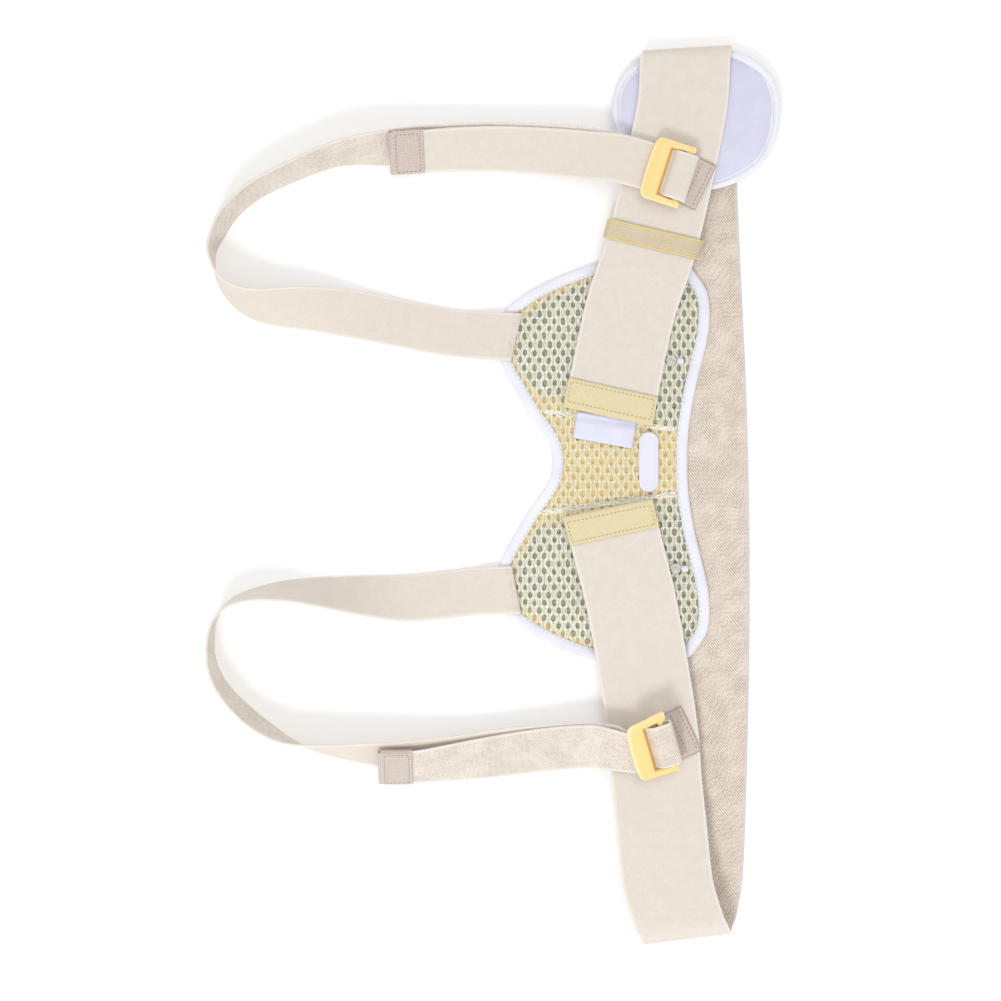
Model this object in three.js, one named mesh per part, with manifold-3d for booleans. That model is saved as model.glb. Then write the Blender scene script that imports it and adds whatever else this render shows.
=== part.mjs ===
// A hernia belt laid flat on a table. Millimetres, +Z up, +Y towards the compression pad.
// While it is built, x = 0 and y = 0 lie at the middle of the mesh panel and z = 0 is the table.
// At the end the group moves so that the origin is under the middle of the whole belt.
import * as THREE from "three";
import { mergeVertices } from "three/addons/utils/BufferGeometryUtils.js";
import Module from "manifold-3d";

// Gap between pieces that touch
const CLEARANCE = 0.3;

// Steps of a half turn of cloth, and of the curl of a strap in its buckle
const TURN_STEPS = 6;
const CURL_STEPS = 8;

// Waist belt
const LOOP_LENGTH = 595; // the loop laid flat, from the fold at the pad to the loose bend
const BELT_WIDTH = 60;
const BELT_THICKNESS = 1.8;
const BEND_HEIGHT = 20; // how far the loose bend stands up
const BELT_TAB_LENGTH = 18;
const FOLD_CLOTH = 0.8; // thickness of the tabs folded over the ends

// Elastic keeper round the belt
const KEEPER_WIDTH = 13;
const KEEPER_THICKNESS = 1.2;
const KEEPER_ALONG = 0.248; // its place, a share of LOOP_LENGTH up from the middle of the panel

// Mesh panel
const PANEL_LENGTH = 266;
const PANEL_WIDTH = 141;
const PANEL_THICKNESS = 6.5; // over the padded pockets
const MIDDLE_THICKNESS = 3.6; // between the pockets
const BINDING_WIDTH = 7.5;
const BINDING_THICKNESS = 3.2;
const POCKET_START = 22; // from the middle of the panel to the seam of each pocket
const POCKET_SLOPE = 15; // width of the rounded border of a pocket

// Label, plate and studs on the panel
const LABEL_LENGTH = 40;
const LABEL_WIDTH = 18;
const LABEL_THICKNESS = 0.6;
const PLATE_LENGTH = 40;
const PLATE_WIDTH = 13;
const PLATE_THICKNESS = 1.8;
const STUD_RADIUS = 3.3;
const STUD_HEIGHT = 2.4;
const PIN_LENGTH = 3.6;
const PIN_WIDTH = 1.6;

// Leg straps
const STRAP_WIDTH = 32;
const STRAP_THICKNESS = 1.6;
const STRAP_REACH = 200; // from the panel corner to the far end of a leg loop
const STRAP_TAB_LENGTH = 21;
const STRAP_TAB_MARGIN = 2; // the free end is straight for this much more than its tab

// Buckles
const BUCKLE_LENGTH = 42; // along the wide bar
const WIDE_BAR = 10.5;
const WIDE_BAR_THICKNESS = 3;
const WIDE_BAR_CORNER = 4;
const END_BAR_RADIUS = 1.75;
const END_BAR_SETBACK = 4.2; // from the end of the arms to the middle of the end bar
const ARM_REACH = 27; // from the outer edge of the wide bar to the end of the arms
const CURL_SLACK = 2; // how far past the end bar the strap is still flat
const BUCKLE_TAB_LENGTH = 25;
const BUCKLE_TAB_THICKNESS = 1.5;

// Compression pad
const PAD_LENGTH = 112;
const PAD_THICKNESS = 9.5;
const PAD_RIM = 4;
const PAD_BINDING_WIDTH = 5.5;

// Heights of the middle of the belt above the middle of its back run
const PANEL_SEAT = PANEL_THICKNESS + FOLD_CLOTH + BELT_THICKNESS + 3 * CLEARANCE;
const PAD_SEAT = PAD_THICKNESS + BELT_THICKNESS + 2 * CLEARANCE;

// Front and back runs of the belt. along: share of LOOP_LENGTH up from the middle of the panel.
// across: share of BELT_WIDTH. turn: degrees that the belt's width leans. panel, pad, loose: how
// much of PANEL_SEAT, PAD_SEAT and BEND_HEIGHT lies under it.
const UPPER_FRONT = [
  { along: 0.0532, across: 0.081, turn: -12.5, panel: 1, pad: 0, loose: 0 },
  { along: 0.0844, across: 0.146, turn: -12.5, panel: 1, pad: 0, loose: 0 },
  { along: 0.1714, across: 0.333, turn: -14.5, panel: 0.95, pad: 0, loose: 0 },
  { along: 0.2375, across: 0.55, turn: -14, panel: 0.4, pad: 0.6, loose: 0 },
  { along: 0.2936, across: 0.689, turn: -10, panel: 0, pad: 1, loose: 0 },
  { along: 0.3552, across: 0.822, turn: -7, panel: 0, pad: 1, loose: 0 },
  { along: 0.4056, across: 0.911, turn: -3, panel: 0, pad: 1, loose: 0 },
];
const BACK_RUN = [
  { along: 0.4056, across: 1.0, turn: 1 },
  { along: 0.3048, across: 1.022, turn: -1 },
  { along: 0.2039, across: 1.067, turn: -2 },
  { along: 0.0695, across: 1.125, turn: -1 },
  { along: -0.0695, across: 1.156, turn: 0 },
  { along: -0.2106, across: 1.156, turn: 0 },
  { along: -0.3339, across: 1.132, turn: 1 },
  { along: -0.4347, across: 1.1, turn: 2 },
  { along: -0.475, across: 1.075, turn: 3 },
];
const LOWER_FRONT = [
  { along: -0.49, across: 0.79, turn: 5, panel: 0, pad: 0, loose: 0.95 },
  { along: -0.465, across: 0.73, turn: 4, panel: 0, pad: 0, loose: 0.85 },
  { along: -0.4011, across: 0.667, turn: 3, panel: 0, pad: 0, loose: 0.58 },
  { along: -0.3563, across: 0.622, turn: 3, panel: 0, pad: 0, loose: 0.42 },
  { along: -0.3092, across: 0.589, turn: 5, panel: 0, pad: 0, loose: 0.4 },
  { along: -0.2443, across: 0.495, turn: 9, panel: 0.5, pad: 0, loose: 0.15 },
  { along: -0.1535, across: 0.331, turn: 13, panel: 0.95, pad: 0, loose: 0 },
  { along: -0.0874, across: 0.167, turn: 12.5, panel: 1, pad: 0, loose: 0 },
  { along: -0.0543, across: 0.077, turn: 11.5, panel: 1, pad: 0, loose: 0 },
];
const FOLD_CREST = { along: 0.4627, across: 0.96, turn: 3.5 };
const BEND_CREST = { along: -0.5322, across: 0.95, turn: 7 };
const FOLD_STEPS = 8;

// Half of the panel's outline, from its middle to its end, the same for both ends. along: share of
// half of PANEL_LENGTH. left, right: shares of PANEL_WIDTH from the middle line.
const PANEL_OUTLINE = [
  { along: 0, left: -0.227, right: 0.412 },
  { along: 0.07, left: -0.236, right: 0.412 },
  { along: 0.14, left: -0.27, right: 0.415 },
  { along: 0.25, left: -0.345, right: 0.429 },
  { along: 0.37, left: -0.41, right: 0.45 },
  { along: 0.495, left: -0.474, right: 0.479 },
  { along: 0.65, left: -0.483, right: 0.512 },
  { along: 0.76, left: -0.455, right: 0.517 },
  { along: 0.81, left: -0.4, right: 0.513 },
  { along: 0.865, left: -0.325, right: 0.5 },
  { along: 0.935, left: -0.19, right: 0.455 },
  { along: 0.975, left: -0.085, right: 0.425 },
  { along: 1, left: 0, right: 0.38 },
];

// Outline of the compression pad: reach from its middle, a share of PAD_LENGTH, every 30 degrees.
const PAD_OUTLINE = [0.5, 0.522, 0.465, 0.372, 0.43, 0.51, 0.494, 0.446, 0.417, 0.426, 0.446, 0.485];
const PAD_PLACE = { along: 0.3832, across: 1.055 };

// Leg straps, in order from the panel corner. The way out is placed by reach, a share of
// STRAP_REACH, and the way back by run, the share of the way from the far end to the buckle.
// span: share of the way from the corner up or down to the buckle. roll: degrees from lying with
// the plain side up. perch: how much of the panel's binding it lies on. hold: how much of the
// height of the belt under the buckle it has.
const UPPER_OUT = [
  { reach: 0, span: 0, roll: 0, perch: 1 },
  { reach: 0.05, span: 0.004, roll: 0, perch: 1 },
  { reach: 0.095, span: 0.01, roll: 0, perch: 0.6 },
  { reach: 0.145, span: 0.018, roll: 0, perch: 0.1 },
  { reach: 0.22, span: 0.031, roll: 0, perch: 0 },
  { reach: 0.387, span: 0.087, roll: 2, perch: 0 },
  { reach: 0.553, span: 0.143, roll: 9, perch: 0 },
  { reach: 0.653, span: 0.164, roll: 22, perch: 0 },
  { reach: 0.72, span: 0.173, roll: 30, perch: 0 },
  { reach: 0.787, span: 0.176, roll: 39, perch: 0 },
  { reach: 0.853, span: 0.19, roll: 51, perch: 0 },
  { reach: 0.905, span: 0.224, roll: 63, perch: 0 },
  { reach: 0.948, span: 0.278, roll: 75, perch: 0 },
  { reach: 0.98, span: 0.35, roll: 84, perch: 0 },
  { reach: 0.997, span: 0.437, roll: 90, perch: 0 },
];
const UPPER_BACK = [
  { run: 0.001, span: 0.525, roll: 97, hold: 0 },
  { run: 0.014, span: 0.609, roll: 102, hold: 0 },
  { run: 0.0325, span: 0.698, roll: 105, hold: 0 },
  { run: 0.0626, span: 0.787, roll: 106, hold: 0 },
  { run: 0.107, span: 0.873, roll: 107, hold: 0 },
  { run: 0.195, span: 0.985, roll: 110, hold: 0 },
  { run: 0.288, span: 1.077, roll: 116, hold: 0 },
  { run: 0.3805, span: 1.11, roll: 129, hold: 0 },
  { run: 0.485, span: 1.125, roll: 143, hold: 0 },
  { run: 0.636, span: 1.135, roll: 152, hold: 0.03 },
  { run: 0.726, span: 1.125, roll: 158, hold: 0.22 },
  { run: 0.798, span: 1.11, roll: 163, hold: 0.55 },
  { run: 0.87, span: 1.085, roll: 172, hold: 0.9 },
  { run: 0.92, span: 1.062, roll: 178, hold: 1 },
  { run: 0.972, span: 1.028, roll: 180, hold: 1 },
];
const LOWER_OUT = [
  { reach: 0, span: 0, roll: 0, perch: 1 },
  { reach: 0.052, span: 0.001, roll: 0, perch: 1 },
  { reach: 0.095, span: 0.004, roll: 0, perch: 0.6 },
  { reach: 0.145, span: 0.011, roll: 0, perch: 0.1 },
  { reach: 0.218, span: 0.026, roll: 4, perch: 0 },
  { reach: 0.318, span: 0.046, roll: 9, perch: 0 },
  { reach: 0.385, span: 0.048, roll: 17, perch: 0 },
  { reach: 0.452, span: 0.039, roll: 29, perch: 0 },
  { reach: 0.518, span: 0.029, roll: 38, perch: 0 },
  { reach: 0.585, span: 0.018, roll: 47, perch: 0 },
  { reach: 0.652, span: 0.007, roll: 55, perch: 0 },
  { reach: 0.718, span: 0.001, roll: 63, perch: 0 },
  { reach: 0.785, span: 0.004, roll: 70, perch: 0 },
  { reach: 0.852, span: 0.02, roll: 77, perch: 0 },
  { reach: 0.912, span: 0.051, roll: 82, perch: 0 },
  { reach: 0.952, span: 0.095, roll: 86, perch: 0 },
  { reach: 0.985, span: 0.165, roll: 89, perch: 0 },
  { reach: 1.0, span: 0.25, roll: 92, perch: 0 },
  { reach: 1.005, span: 0.36, roll: 94, perch: 0 },
];
const LOWER_BACK = [
  { run: 0.003, span: 0.485, roll: 97, hold: 0 },
  { run: 0.022, span: 0.597, roll: 100, hold: 0 },
  { run: 0.052, span: 0.697, roll: 103, hold: 0 },
  { run: 0.088, span: 0.79, roll: 104, hold: 0 },
  { run: 0.1265, span: 0.865, roll: 102, hold: 0 },
  { run: 0.1626, span: 0.921, roll: 97, hold: 0 },
  { run: 0.194, span: 0.956, roll: 90, hold: 0 },
  { run: 0.232, span: 0.983, roll: 82, hold: 0 },
  { run: 0.288, span: 1.006, roll: 73, hold: 0 },
  { run: 0.348, span: 1.02, roll: 64, hold: 0 },
  { run: 0.42, span: 1.035, roll: 54, hold: 0 },
  { run: 0.502, span: 1.04, roll: 44, hold: 0 },
  { run: 0.589, span: 1.03, roll: 35, hold: 0.02 },
  { run: 0.68, span: 1.005, roll: 27, hold: 0.15 },
  { run: 0.782, span: 0.98, roll: 23, hold: 0.5 },
  { run: 0.878, span: 0.965, roll: 23, hold: 0.85 },
  { run: 0.955, span: 0.975, roll: 25, hold: 1 },
];
// The free end, which lies on the way back. run: where along the way back. away, slide: shares of
// STRAP_WIDTH that it stands off from and slides over the layer under it.
const UPPER_FREE = [
  { run: 0.93, away: 0.01, slide: 0.02 },
  { run: 0.86, away: 0.01, slide: 0.07 },
  { run: 0.7, away: 0.01, slide: 0.06 },
  { run: 0.55, away: 0.04, slide: 0.04 },
  { run: 0.46, away: 0.09, slide: 0.03 },
  { run: 0.412, away: 0.11, slide: 0.03 },
];
const LOWER_FREE = [
  { run: 0.91, away: 0.01, slide: 0.01 },
  { run: 0.8, away: 0.01, slide: 0.05 },
  { run: 0.68, away: 0.04, slide: 0.09 },
  { run: 0.58, away: 0.08, slide: 0.09 },
  { run: 0.47, away: 0.15, slide: 0.11 },
  { run: 0.402, away: 0.18, slide: 0.11 },
];

// Panel corners where the straps are sewn on: along is a share of half of PANEL_LENGTH, across of
// PANEL_WIDTH, and side is 1 above the middle of the panel and -1 below it.
const CORNERS = {
  upper: { along: 0.624, across: -0.41, side: 1 },
  lower: { along: 0.642, across: -0.41, side: -1 },
};

// Buckles on the belt: along as a share of LOOP_LENGTH, across of BELT_WIDTH, yaw of the straps'
// way through it, roll about that way, and how its hook tab lies under it.
const BUCKLES = {
  upper: { along: 0.3283, across: 0.522, yaw: -18, roll: 0, tab: { start: 15.5, yaw: -26 } },
  lower: { along: -0.3205, across: 0.339, yaw: 17, roll: 25, tab: { start: 17, yaw: 25 } },
};

const UP = new THREE.Vector3(0, 0, 1);
const RAD = Math.PI / 180;
const STEPS_PER_ROW = 3;

// Rows with any named columns, smoothed: a cubic through the rows, spaced by their distance.
function smoothRows(rows, steps, distance) {
  const at = [0];
  for (let i = 1; i < rows.length; i += 1) {
    at.push(at[i - 1] + distance(rows[i - 1], rows[i]));
  }
  const keys = Object.keys(rows[0]);
  const slope = (i, key) => {
    const before = Math.max(i - 1, 0);
    const after = Math.min(i + 1, rows.length - 1);
    return (rows[after][key] - rows[before][key]) / (at[after] - at[before]);
  };
  const made = [];
  for (let i = 0; i < rows.length - 1; i += 1) {
    const length = at[i + 1] - at[i];
    for (let k = 0; k < steps; k += 1) {
      const t = k / steps;
      const row = {};
      for (const key of keys) {
        const a = rows[i][key];
        const b = rows[i + 1][key];
        const curve =
          (2 * t ** 3 - 3 * t ** 2 + 1) * a +
          (t ** 3 - 2 * t ** 2 + t) * length * slope(i, key) +
          (3 * t ** 2 - 2 * t ** 3) * b +
          (t ** 3 - t ** 2) * length * slope(i + 1, key);
        row[key] = curve;
      }
      made.push(row);
    }
  }
  made.push({ ...rows[rows.length - 1] });
  return made;
}

function surface(positions) {
  const geometry = new THREE.BufferGeometry();
  geometry.setAttribute("position", new THREE.Float32BufferAttribute(positions, 3));
  geometry.computeVertexNormals();
  return geometry;
}

// Closed surface through rings of points. Each ring runs anticlockwise about the way forward.
function loft(rings, closed = false) {
  const count = rings[0].length;
  const positions = [];
  const triangle = (a, b, c) => positions.push(...a.toArray(), ...b.toArray(), ...c.toArray());
  const last = closed ? rings.length : rings.length - 1;
  for (let i = 0; i < last; i += 1) {
    const near = rings[i];
    const far = rings[(i + 1) % rings.length];
    for (let k = 0; k < count; k += 1) {
      const next = (k + 1) % count;
      triangle(near[k], near[next], far[next]);
      triangle(near[k], far[next], far[k]);
    }
  }
  if (!closed) {
    const end = rings[rings.length - 1];
    for (let k = 1; k < count - 1; k += 1) {
      triangle(rings[0][0], rings[0][k + 1], rings[0][k]);
      triangle(end[0], end[k], end[k + 1]);
    }
  }
  return surface(positions);
}

// Stations { p, w }: a point on the middle of a ribbon and the unit vector across it. This adds
// t, the way along, and n, the way through the cloth.
function withFrames(stations, closed = false) {
  const count = stations.length;
  return stations.map(({ p, w }, i) => {
    const before = closed ? stations[(i + count - 1) % count] : stations[Math.max(i - 1, 0)];
    const after = closed ? stations[(i + 1) % count] : stations[Math.min(i + 1, count - 1)];
    const t = after.p.clone().sub(before.p).normalize();
    const n = t.clone().cross(w).normalize();
    return { p, w, t, n };
  });
}

// A strip of cloth: a flat section swept along stations.
function ribbon(stations, width, thickness, closed = false) {
  const rings = withFrames(stations, closed).map(({ p, w, n }) => {
    const across = w.clone().multiplyScalar(width / 2);
    const through = n.clone().multiplyScalar(thickness / 2);
    return [
      p.clone().add(across).add(through),
      p.clone().sub(across).add(through),
      p.clone().sub(across).sub(through),
      p.clone().add(across).sub(through),
    ];
  });
  return loft(rings, closed);
}

// Cloth folded over the end of a ribbon. frames run from the free end inwards.
function foldedTab(frames, insideThickness, width) {
  const off = insideThickness / 2 + CLEARANCE + FOLD_CLOTH / 2;
  const end = frames[0];
  const inwards = frames[1].p.clone().sub(end.p).normalize();
  const layer = (frame, side) => ({
    p: frame.p.clone().addScaledVector(frame.n, side * off),
    w: frame.w,
  });
  const turn = [];
  for (let k = 1; k < TURN_STEPS; k += 1) {
    const angle = (Math.PI * k) / TURN_STEPS;
    const p = end.p
      .clone()
      .addScaledVector(end.n, off * Math.cos(angle))
      .addScaledVector(inwards, -off * Math.sin(angle));
    turn.push({ p, w: end.w });
  }
  const top = frames.map((frame) => layer(frame, 1)).reverse();
  const bottom = frames.map((frame) => layer(frame, -1));
  return ribbon([...top, ...turn, ...bottom], width, FOLD_CLOTH);
}

// The frames from the end that cover a length.
function endFrames(frames, length) {
  const kept = [frames[0]];
  let covered = 0;
  for (let i = 1; i < frames.length; i += 1) {
    const step = frames[i].p.distanceTo(frames[i - 1].p);
    if (covered + step >= length) {
      const share = (length - covered) / step;
      const p = frames[i - 1].p.clone().lerp(frames[i].p, share);
      const w = frames[i - 1].w.clone().lerp(frames[i].w, share).normalize();
      const n = frames[i - 1].n.clone().lerp(frames[i].n, share).normalize();
      kept.push({ p, w, t: frames[i].t, n });
      return kept;
    }
    covered += step;
    kept.push(frames[i]);
  }
  return kept;
}

// Closed slab between an upper and a lower surface over a grid of columns and rows.
function slab(columns, rows, upper, lower) {
  const positions = [];
  const triangle = (a, b, c) => positions.push(...a.toArray(), ...b.toArray(), ...c.toArray());
  const quad = (a, b, c, d) => {
    triangle(a, b, c);
    triangle(a, c, d);
  };
  for (let j = 0; j < rows; j += 1) {
    for (let i = 0; i < columns; i += 1) {
      quad(upper(i, j), upper(i + 1, j), upper(i + 1, j + 1), upper(i, j + 1));
      quad(lower(i, j), lower(i, j + 1), lower(i + 1, j + 1), lower(i + 1, j));
    }
  }
  for (let i = 0; i < columns; i += 1) {
    quad(lower(i, 0), lower(i + 1, 0), upper(i + 1, 0), upper(i, 0));
    quad(lower(i + 1, rows), lower(i, rows), upper(i, rows), upper(i + 1, rows));
  }
  for (let j = 0; j < rows; j += 1) {
    quad(lower(columns, j), lower(columns, j + 1), upper(columns, j + 1), upper(columns, j));
    quad(lower(0, j + 1), lower(0, j), upper(0, j), upper(0, j + 1));
  }
  return surface(positions);
}

const lerp = THREE.MathUtils.lerp;
const smoothstep = (x) => {
  const t = Math.min(Math.max(x, 0), 1);
  return t * t * (3 - 2 * t);
};

// Waist belt

function beltPoint(row) {
  const z =
    BELT_THICKNESS / 2 +
    (row.panel ?? 0) * PANEL_SEAT +
    (row.pad ?? 0) * PAD_SEAT +
    (row.loose ?? 0) * BEND_HEIGHT;
  return { x: row.across * BELT_WIDTH, y: row.along * LOOP_LENGTH, z, turn: row.turn };
}

// The rows of a half turn between the front run and the back run.
function foldRows(crest, front, back, height) {
  const radius = height / 2;
  const outward = Math.sign(crest.along);
  const crestX = crest.across * BELT_WIDTH;
  const centreY = crest.along * LOOP_LENGTH - outward * (radius + BELT_THICKNESS / 2);
  const rows = [];
  for (let k = 0; k <= FOLD_STEPS; k += 1) {
    const angle = (Math.PI * k) / FOLD_STEPS;
    const towards = Math.cos(angle);
    const side = towards > 0 ? front : back;
    const share = (1 - Math.sin(angle)) / 2;
    rows.push({
      x: lerp(crestX, side.x, share),
      y: centreY + outward * radius * Math.sin(angle),
      z: BELT_THICKNESS / 2 + radius * (1 + towards),
      turn: lerp(crest.turn, side.turn, share),
    });
  }
  return rows;
}

function beltStations() {
  const front = UPPER_FRONT.map(beltPoint);
  const back = BACK_RUN.map(beltPoint);
  const lower = LOWER_FRONT.map(beltPoint);
  const fold = foldRows(FOLD_CREST, front[front.length - 1], back[0], PAD_SEAT);
  const bend = foldRows(BEND_CREST, lower[0], back[back.length - 1], BEND_HEIGHT).reverse();
  const rows = [...front, ...fold, ...back, ...bend, ...lower];
  const distance = (a, b) => Math.hypot(b.x - a.x, b.y - a.y, b.z - a.z);
  // The smoothing may not push the back run below the table.
  return smoothRows(rows, STEPS_PER_ROW, distance).map((row) => ({
    p: new THREE.Vector3(row.x, row.y, Math.max(row.z, BELT_THICKNESS / 2)),
    w: new THREE.Vector3(Math.cos(row.turn * RAD), Math.sin(row.turn * RAD), 0),
  }));
}

const beltFrames = withFrames(beltStations());
const upperFrontFrames = beltFrames.slice(0, (UPPER_FRONT.length - 1) * STEPS_PER_ROW + 1);
const lowerFrontFrames = beltFrames.slice(-(LOWER_FRONT.length - 1) * STEPS_PER_ROW - 1).reverse();

// Where a front run passes a height up the page: its middle there.
function beltAt(frames, y) {
  let nearest = 0;
  for (let i = 0; i < frames.length - 1; i += 1) {
    if ((frames[i].p.y - y) * (frames[i + 1].p.y - y) <= 0) {
      nearest = i;
    }
  }
  const a = frames[nearest];
  const b = frames[nearest + 1];
  const share = (y - a.p.y) / (b.p.y - a.p.y);
  return {
    p: a.p.clone().lerp(b.p, share),
    w: a.w.clone().lerp(b.w, share).normalize(),
    t: b.p.clone().sub(a.p).normalize(),
  };
}

function waistBelt() {
  return ribbon(beltStations(), BELT_WIDTH, BELT_THICKNESS);
}

function beltTab(frames) {
  return foldedTab(endFrames(frames, BELT_TAB_LENGTH), BELT_THICKNESS, BELT_WIDTH + 2 * CLEARANCE);
}

// A flat band right round the belt.
function elasticKeeper() {
  const place = beltAt(upperFrontFrames, KEEPER_ALONG * LOOP_LENGTH);
  const normal = place.w.clone().cross(place.t).normalize();
  const off = BELT_THICKNESS / 2 + 2 * CLEARANCE + KEEPER_THICKNESS / 2;
  const half = BELT_WIDTH / 2;
  const stations = [];
  for (const side of [1, -1]) {
    for (let k = 0; k <= TURN_STEPS; k += 1) {
      const angle = (Math.PI * k) / TURN_STEPS;
      const p = place.p
        .clone()
        .addScaledVector(place.w, side * (half + off * Math.sin(angle)))
        .addScaledVector(normal, side * off * Math.cos(angle));
      stations.push({ p, w: place.t });
    }
  }
  return ribbon(stations, KEEPER_WIDTH, KEEPER_THICKNESS, true);
}

// Mesh panel

const BACK_RUN_EDGE = (BACK_RUN[1].across - 0.5) * BELT_WIDTH; // its leftmost place by the panel
const PANEL_DRAPE = 55; // the panel slopes down over this much, from the back run to the table

// Height of the panel's underside: on the table at the left, on the belt's back run at the right.
function panelBase(x) {
  const share = 1 - (BACK_RUN_EDGE - 2 * CLEARANCE - x) / PANEL_DRAPE;
  return (BELT_THICKNESS + CLEARANCE) * Math.min(Math.max(share, 0), 1);
}

function panelOutline(inset) {
  const half = PANEL_LENGTH / 2;
  const distance = (a, b) => Math.hypot(b.along - a.along, b.left - a.left);
  const up = smoothRows(PANEL_OUTLINE, 2, distance);
  const down = [...up].reverse();
  const point = (row, side, key) => new THREE.Vector2(row[key] * PANEL_WIDTH, side * row.along * half);
  const end = up[up.length - 1];
  const endSteps = 8;
  const across = [];
  for (let k = 1; k < endSteps; k += 1) {
    across.push({ along: 1, left: lerp(end.left, end.right, k / endSteps) });
  }
  const back = [...across].reverse();
  const corners = [
    ...up.map((row) => point(row, 1, "right")),
    ...back.map((row) => point(row, 1, "left")),
    ...down.map((row) => point(row, 1, "left")),
    ...up.slice(1).map((row) => point(row, -1, "left")),
    ...across.map((row) => point(row, -1, "left")),
    ...down.slice(0, -1).map((row) => point(row, -1, "right")),
  ];
  return insetLoop(corners, inset);
}

// A closed outline, anticlockwise, moved inwards.
function insetLoop(points, inset) {
  const count = points.length;
  return points.map((point, i) => {
    const before = points[(i + count - 1) % count];
    const after = points[(i + 1) % count];
    const way = after.clone().sub(before).normalize();
    return point.clone().add(new THREE.Vector2(-way.y, way.x).multiplyScalar(inset));
  });
}

// A bound edge: a band that follows a closed outline.
function boundEdge(outer, inner, low, high) {
  const rings = outer.map((point, i) => {
    const inside = inner[i];
    return [
      new THREE.Vector3(point.x, point.y, low(point)),
      new THREE.Vector3(inside.x, inside.y, low(inside)),
      new THREE.Vector3(inside.x, inside.y, high(inside)),
      new THREE.Vector3(point.x, point.y, high(point)),
    ];
  });
  return loft(rings, true);
}

function panelBinding() {
  const low = (point) => panelBase(point.x);
  const high = (point) => panelBase(point.x) + BINDING_THICKNESS;
  return boundEdge(panelOutline(0), panelOutline(BINDING_WIDTH), low, high);
}

// Where a closed outline crosses a height up the page: its left and right ends there.
function crossing(loop, y) {
  const found = [];
  for (let i = 0; i < loop.length; i += 1) {
    const a = loop[i];
    const b = loop[(i + 1) % loop.length];
    if (a.y > y !== b.y > y) {
      found.push(lerp(a.x, b.x, (y - a.y) / (b.y - a.y)));
    }
  }
  return { left: Math.min(...found), right: Math.max(...found) };
}

const panelInner = panelOutline(BINDING_WIDTH + CLEARANCE);
const panelInnerHalf = Math.max(...panelInner.map((point) => point.y)) - CLEARANCE;

// Thickness of the mesh: thin at its border, thicker in the middle, thickest over the pockets.
function panelThickness(x, y) {
  const { left, right } = crossing(panelInner, THREE.MathUtils.clamp(y, -panelInnerHalf, panelInnerHalf));
  const border = Math.min(x - left, right - x, panelInnerHalf - Math.abs(y));
  const pocket = smoothstep((Math.abs(y) - POCKET_START) / POCKET_SLOPE);
  const full = lerp(MIDDLE_THICKNESS, PANEL_THICKNESS, pocket);
  return lerp(BINDING_THICKNESS, full, smoothstep(border / POCKET_SLOPE));
}

const panelTop = (x, y) => panelBase(x) + panelThickness(x, y);

function panelMesh() {
  const columns = 14;
  const rows = 44;
  const place = (i, j) => {
    const y = lerp(-panelInnerHalf, panelInnerHalf, j / rows);
    const { left, right } = crossing(panelInner, y);
    return new THREE.Vector2(lerp(left, right, i / columns), y);
  };
  const upper = (i, j) => {
    const { x, y } = place(i, j);
    return new THREE.Vector3(x, y, panelTop(x, y));
  };
  const lower = (i, j) => {
    const { x, y } = place(i, j);
    return new THREE.Vector3(x, y, panelBase(x));
  };
  return slab(columns, rows, upper, lower);
}

// Label and plate

const LABEL_PLACE = { across: 0.02, along: 0.16, yaw: -10.5 };
const PLATE_PLACE = { across: 0.227, along: 0 };

function label() {
  const columns = 8;
  const rows = 4;
  const middle = new THREE.Vector2(
    LABEL_PLACE.across * PANEL_WIDTH,
    (LABEL_PLACE.along * PANEL_LENGTH) / 2,
  );
  const lift = 2 * CLEARANCE;
  const place = (i, j, height) => {
    const along = (i / columns - 0.5) * LABEL_LENGTH;
    const offset = new THREE.Vector2(along, (j / rows - 0.5) * LABEL_WIDTH);
    const { x, y } = offset.rotateAround(new THREE.Vector2(), LABEL_PLACE.yaw * RAD).add(middle);
    return new THREE.Vector3(x, y, panelTop(x, y) + lift + height);
  };
  return slab(columns, rows, (i, j) => place(i, j, LABEL_THICKNESS), (i, j) => place(i, j, 0));
}

function oblongPlate() {
  const radius = PLATE_WIDTH / 2;
  const straight = PLATE_LENGTH / 2 - radius;
  const shape = new THREE.Shape();
  shape.absarc(0, straight, radius, 0, Math.PI, false);
  shape.absarc(0, -straight, radius, Math.PI, 2 * Math.PI, false);
  shape.closePath();
  return new THREE.ExtrudeGeometry(shape, {
    depth: PLATE_THICKNESS,
    bevelEnabled: false,
    curveSegments: 8,
  });
}

// Clear studs beside the belt, and their white pins

const STUD_ALONG = { upper: 0.112, lower: -0.12 };

function studPlace(side) {
  const frames = side === "upper" ? upperFrontFrames : lowerFrontFrames;
  const y = STUD_ALONG[side] * LOOP_LENGTH;
  const place = beltAt(frames, y);
  const x = place.p.x + BELT_WIDTH / 2 / place.w.x + STUD_RADIUS + 2 * CLEARANCE;
  const under = [-1, 0, 1].map((step) => panelTop(x + step * STUD_RADIUS, y));
  return new THREE.Vector3(x, y, Math.max(...under) + CLEARANCE);
}

// From the middle of the underside round to the top. Shares of STUD_RADIUS and STUD_HEIGHT.
const STUD_PROFILE = [
  { radius: 0, height: 0 },
  { radius: 1, height: 0 },
  { radius: 1, height: 0.3 },
  { radius: 0.75, height: 0.8 },
  { radius: 0, height: 1 },
];

function clearStud() {
  const profile = STUD_PROFILE.map(
    ({ radius, height }) => new THREE.Vector2(radius * STUD_RADIUS, height * STUD_HEIGHT),
  );
  return new THREE.LatheGeometry(profile, 16).rotateX(Math.PI / 2);
}

// Compression pad

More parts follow.
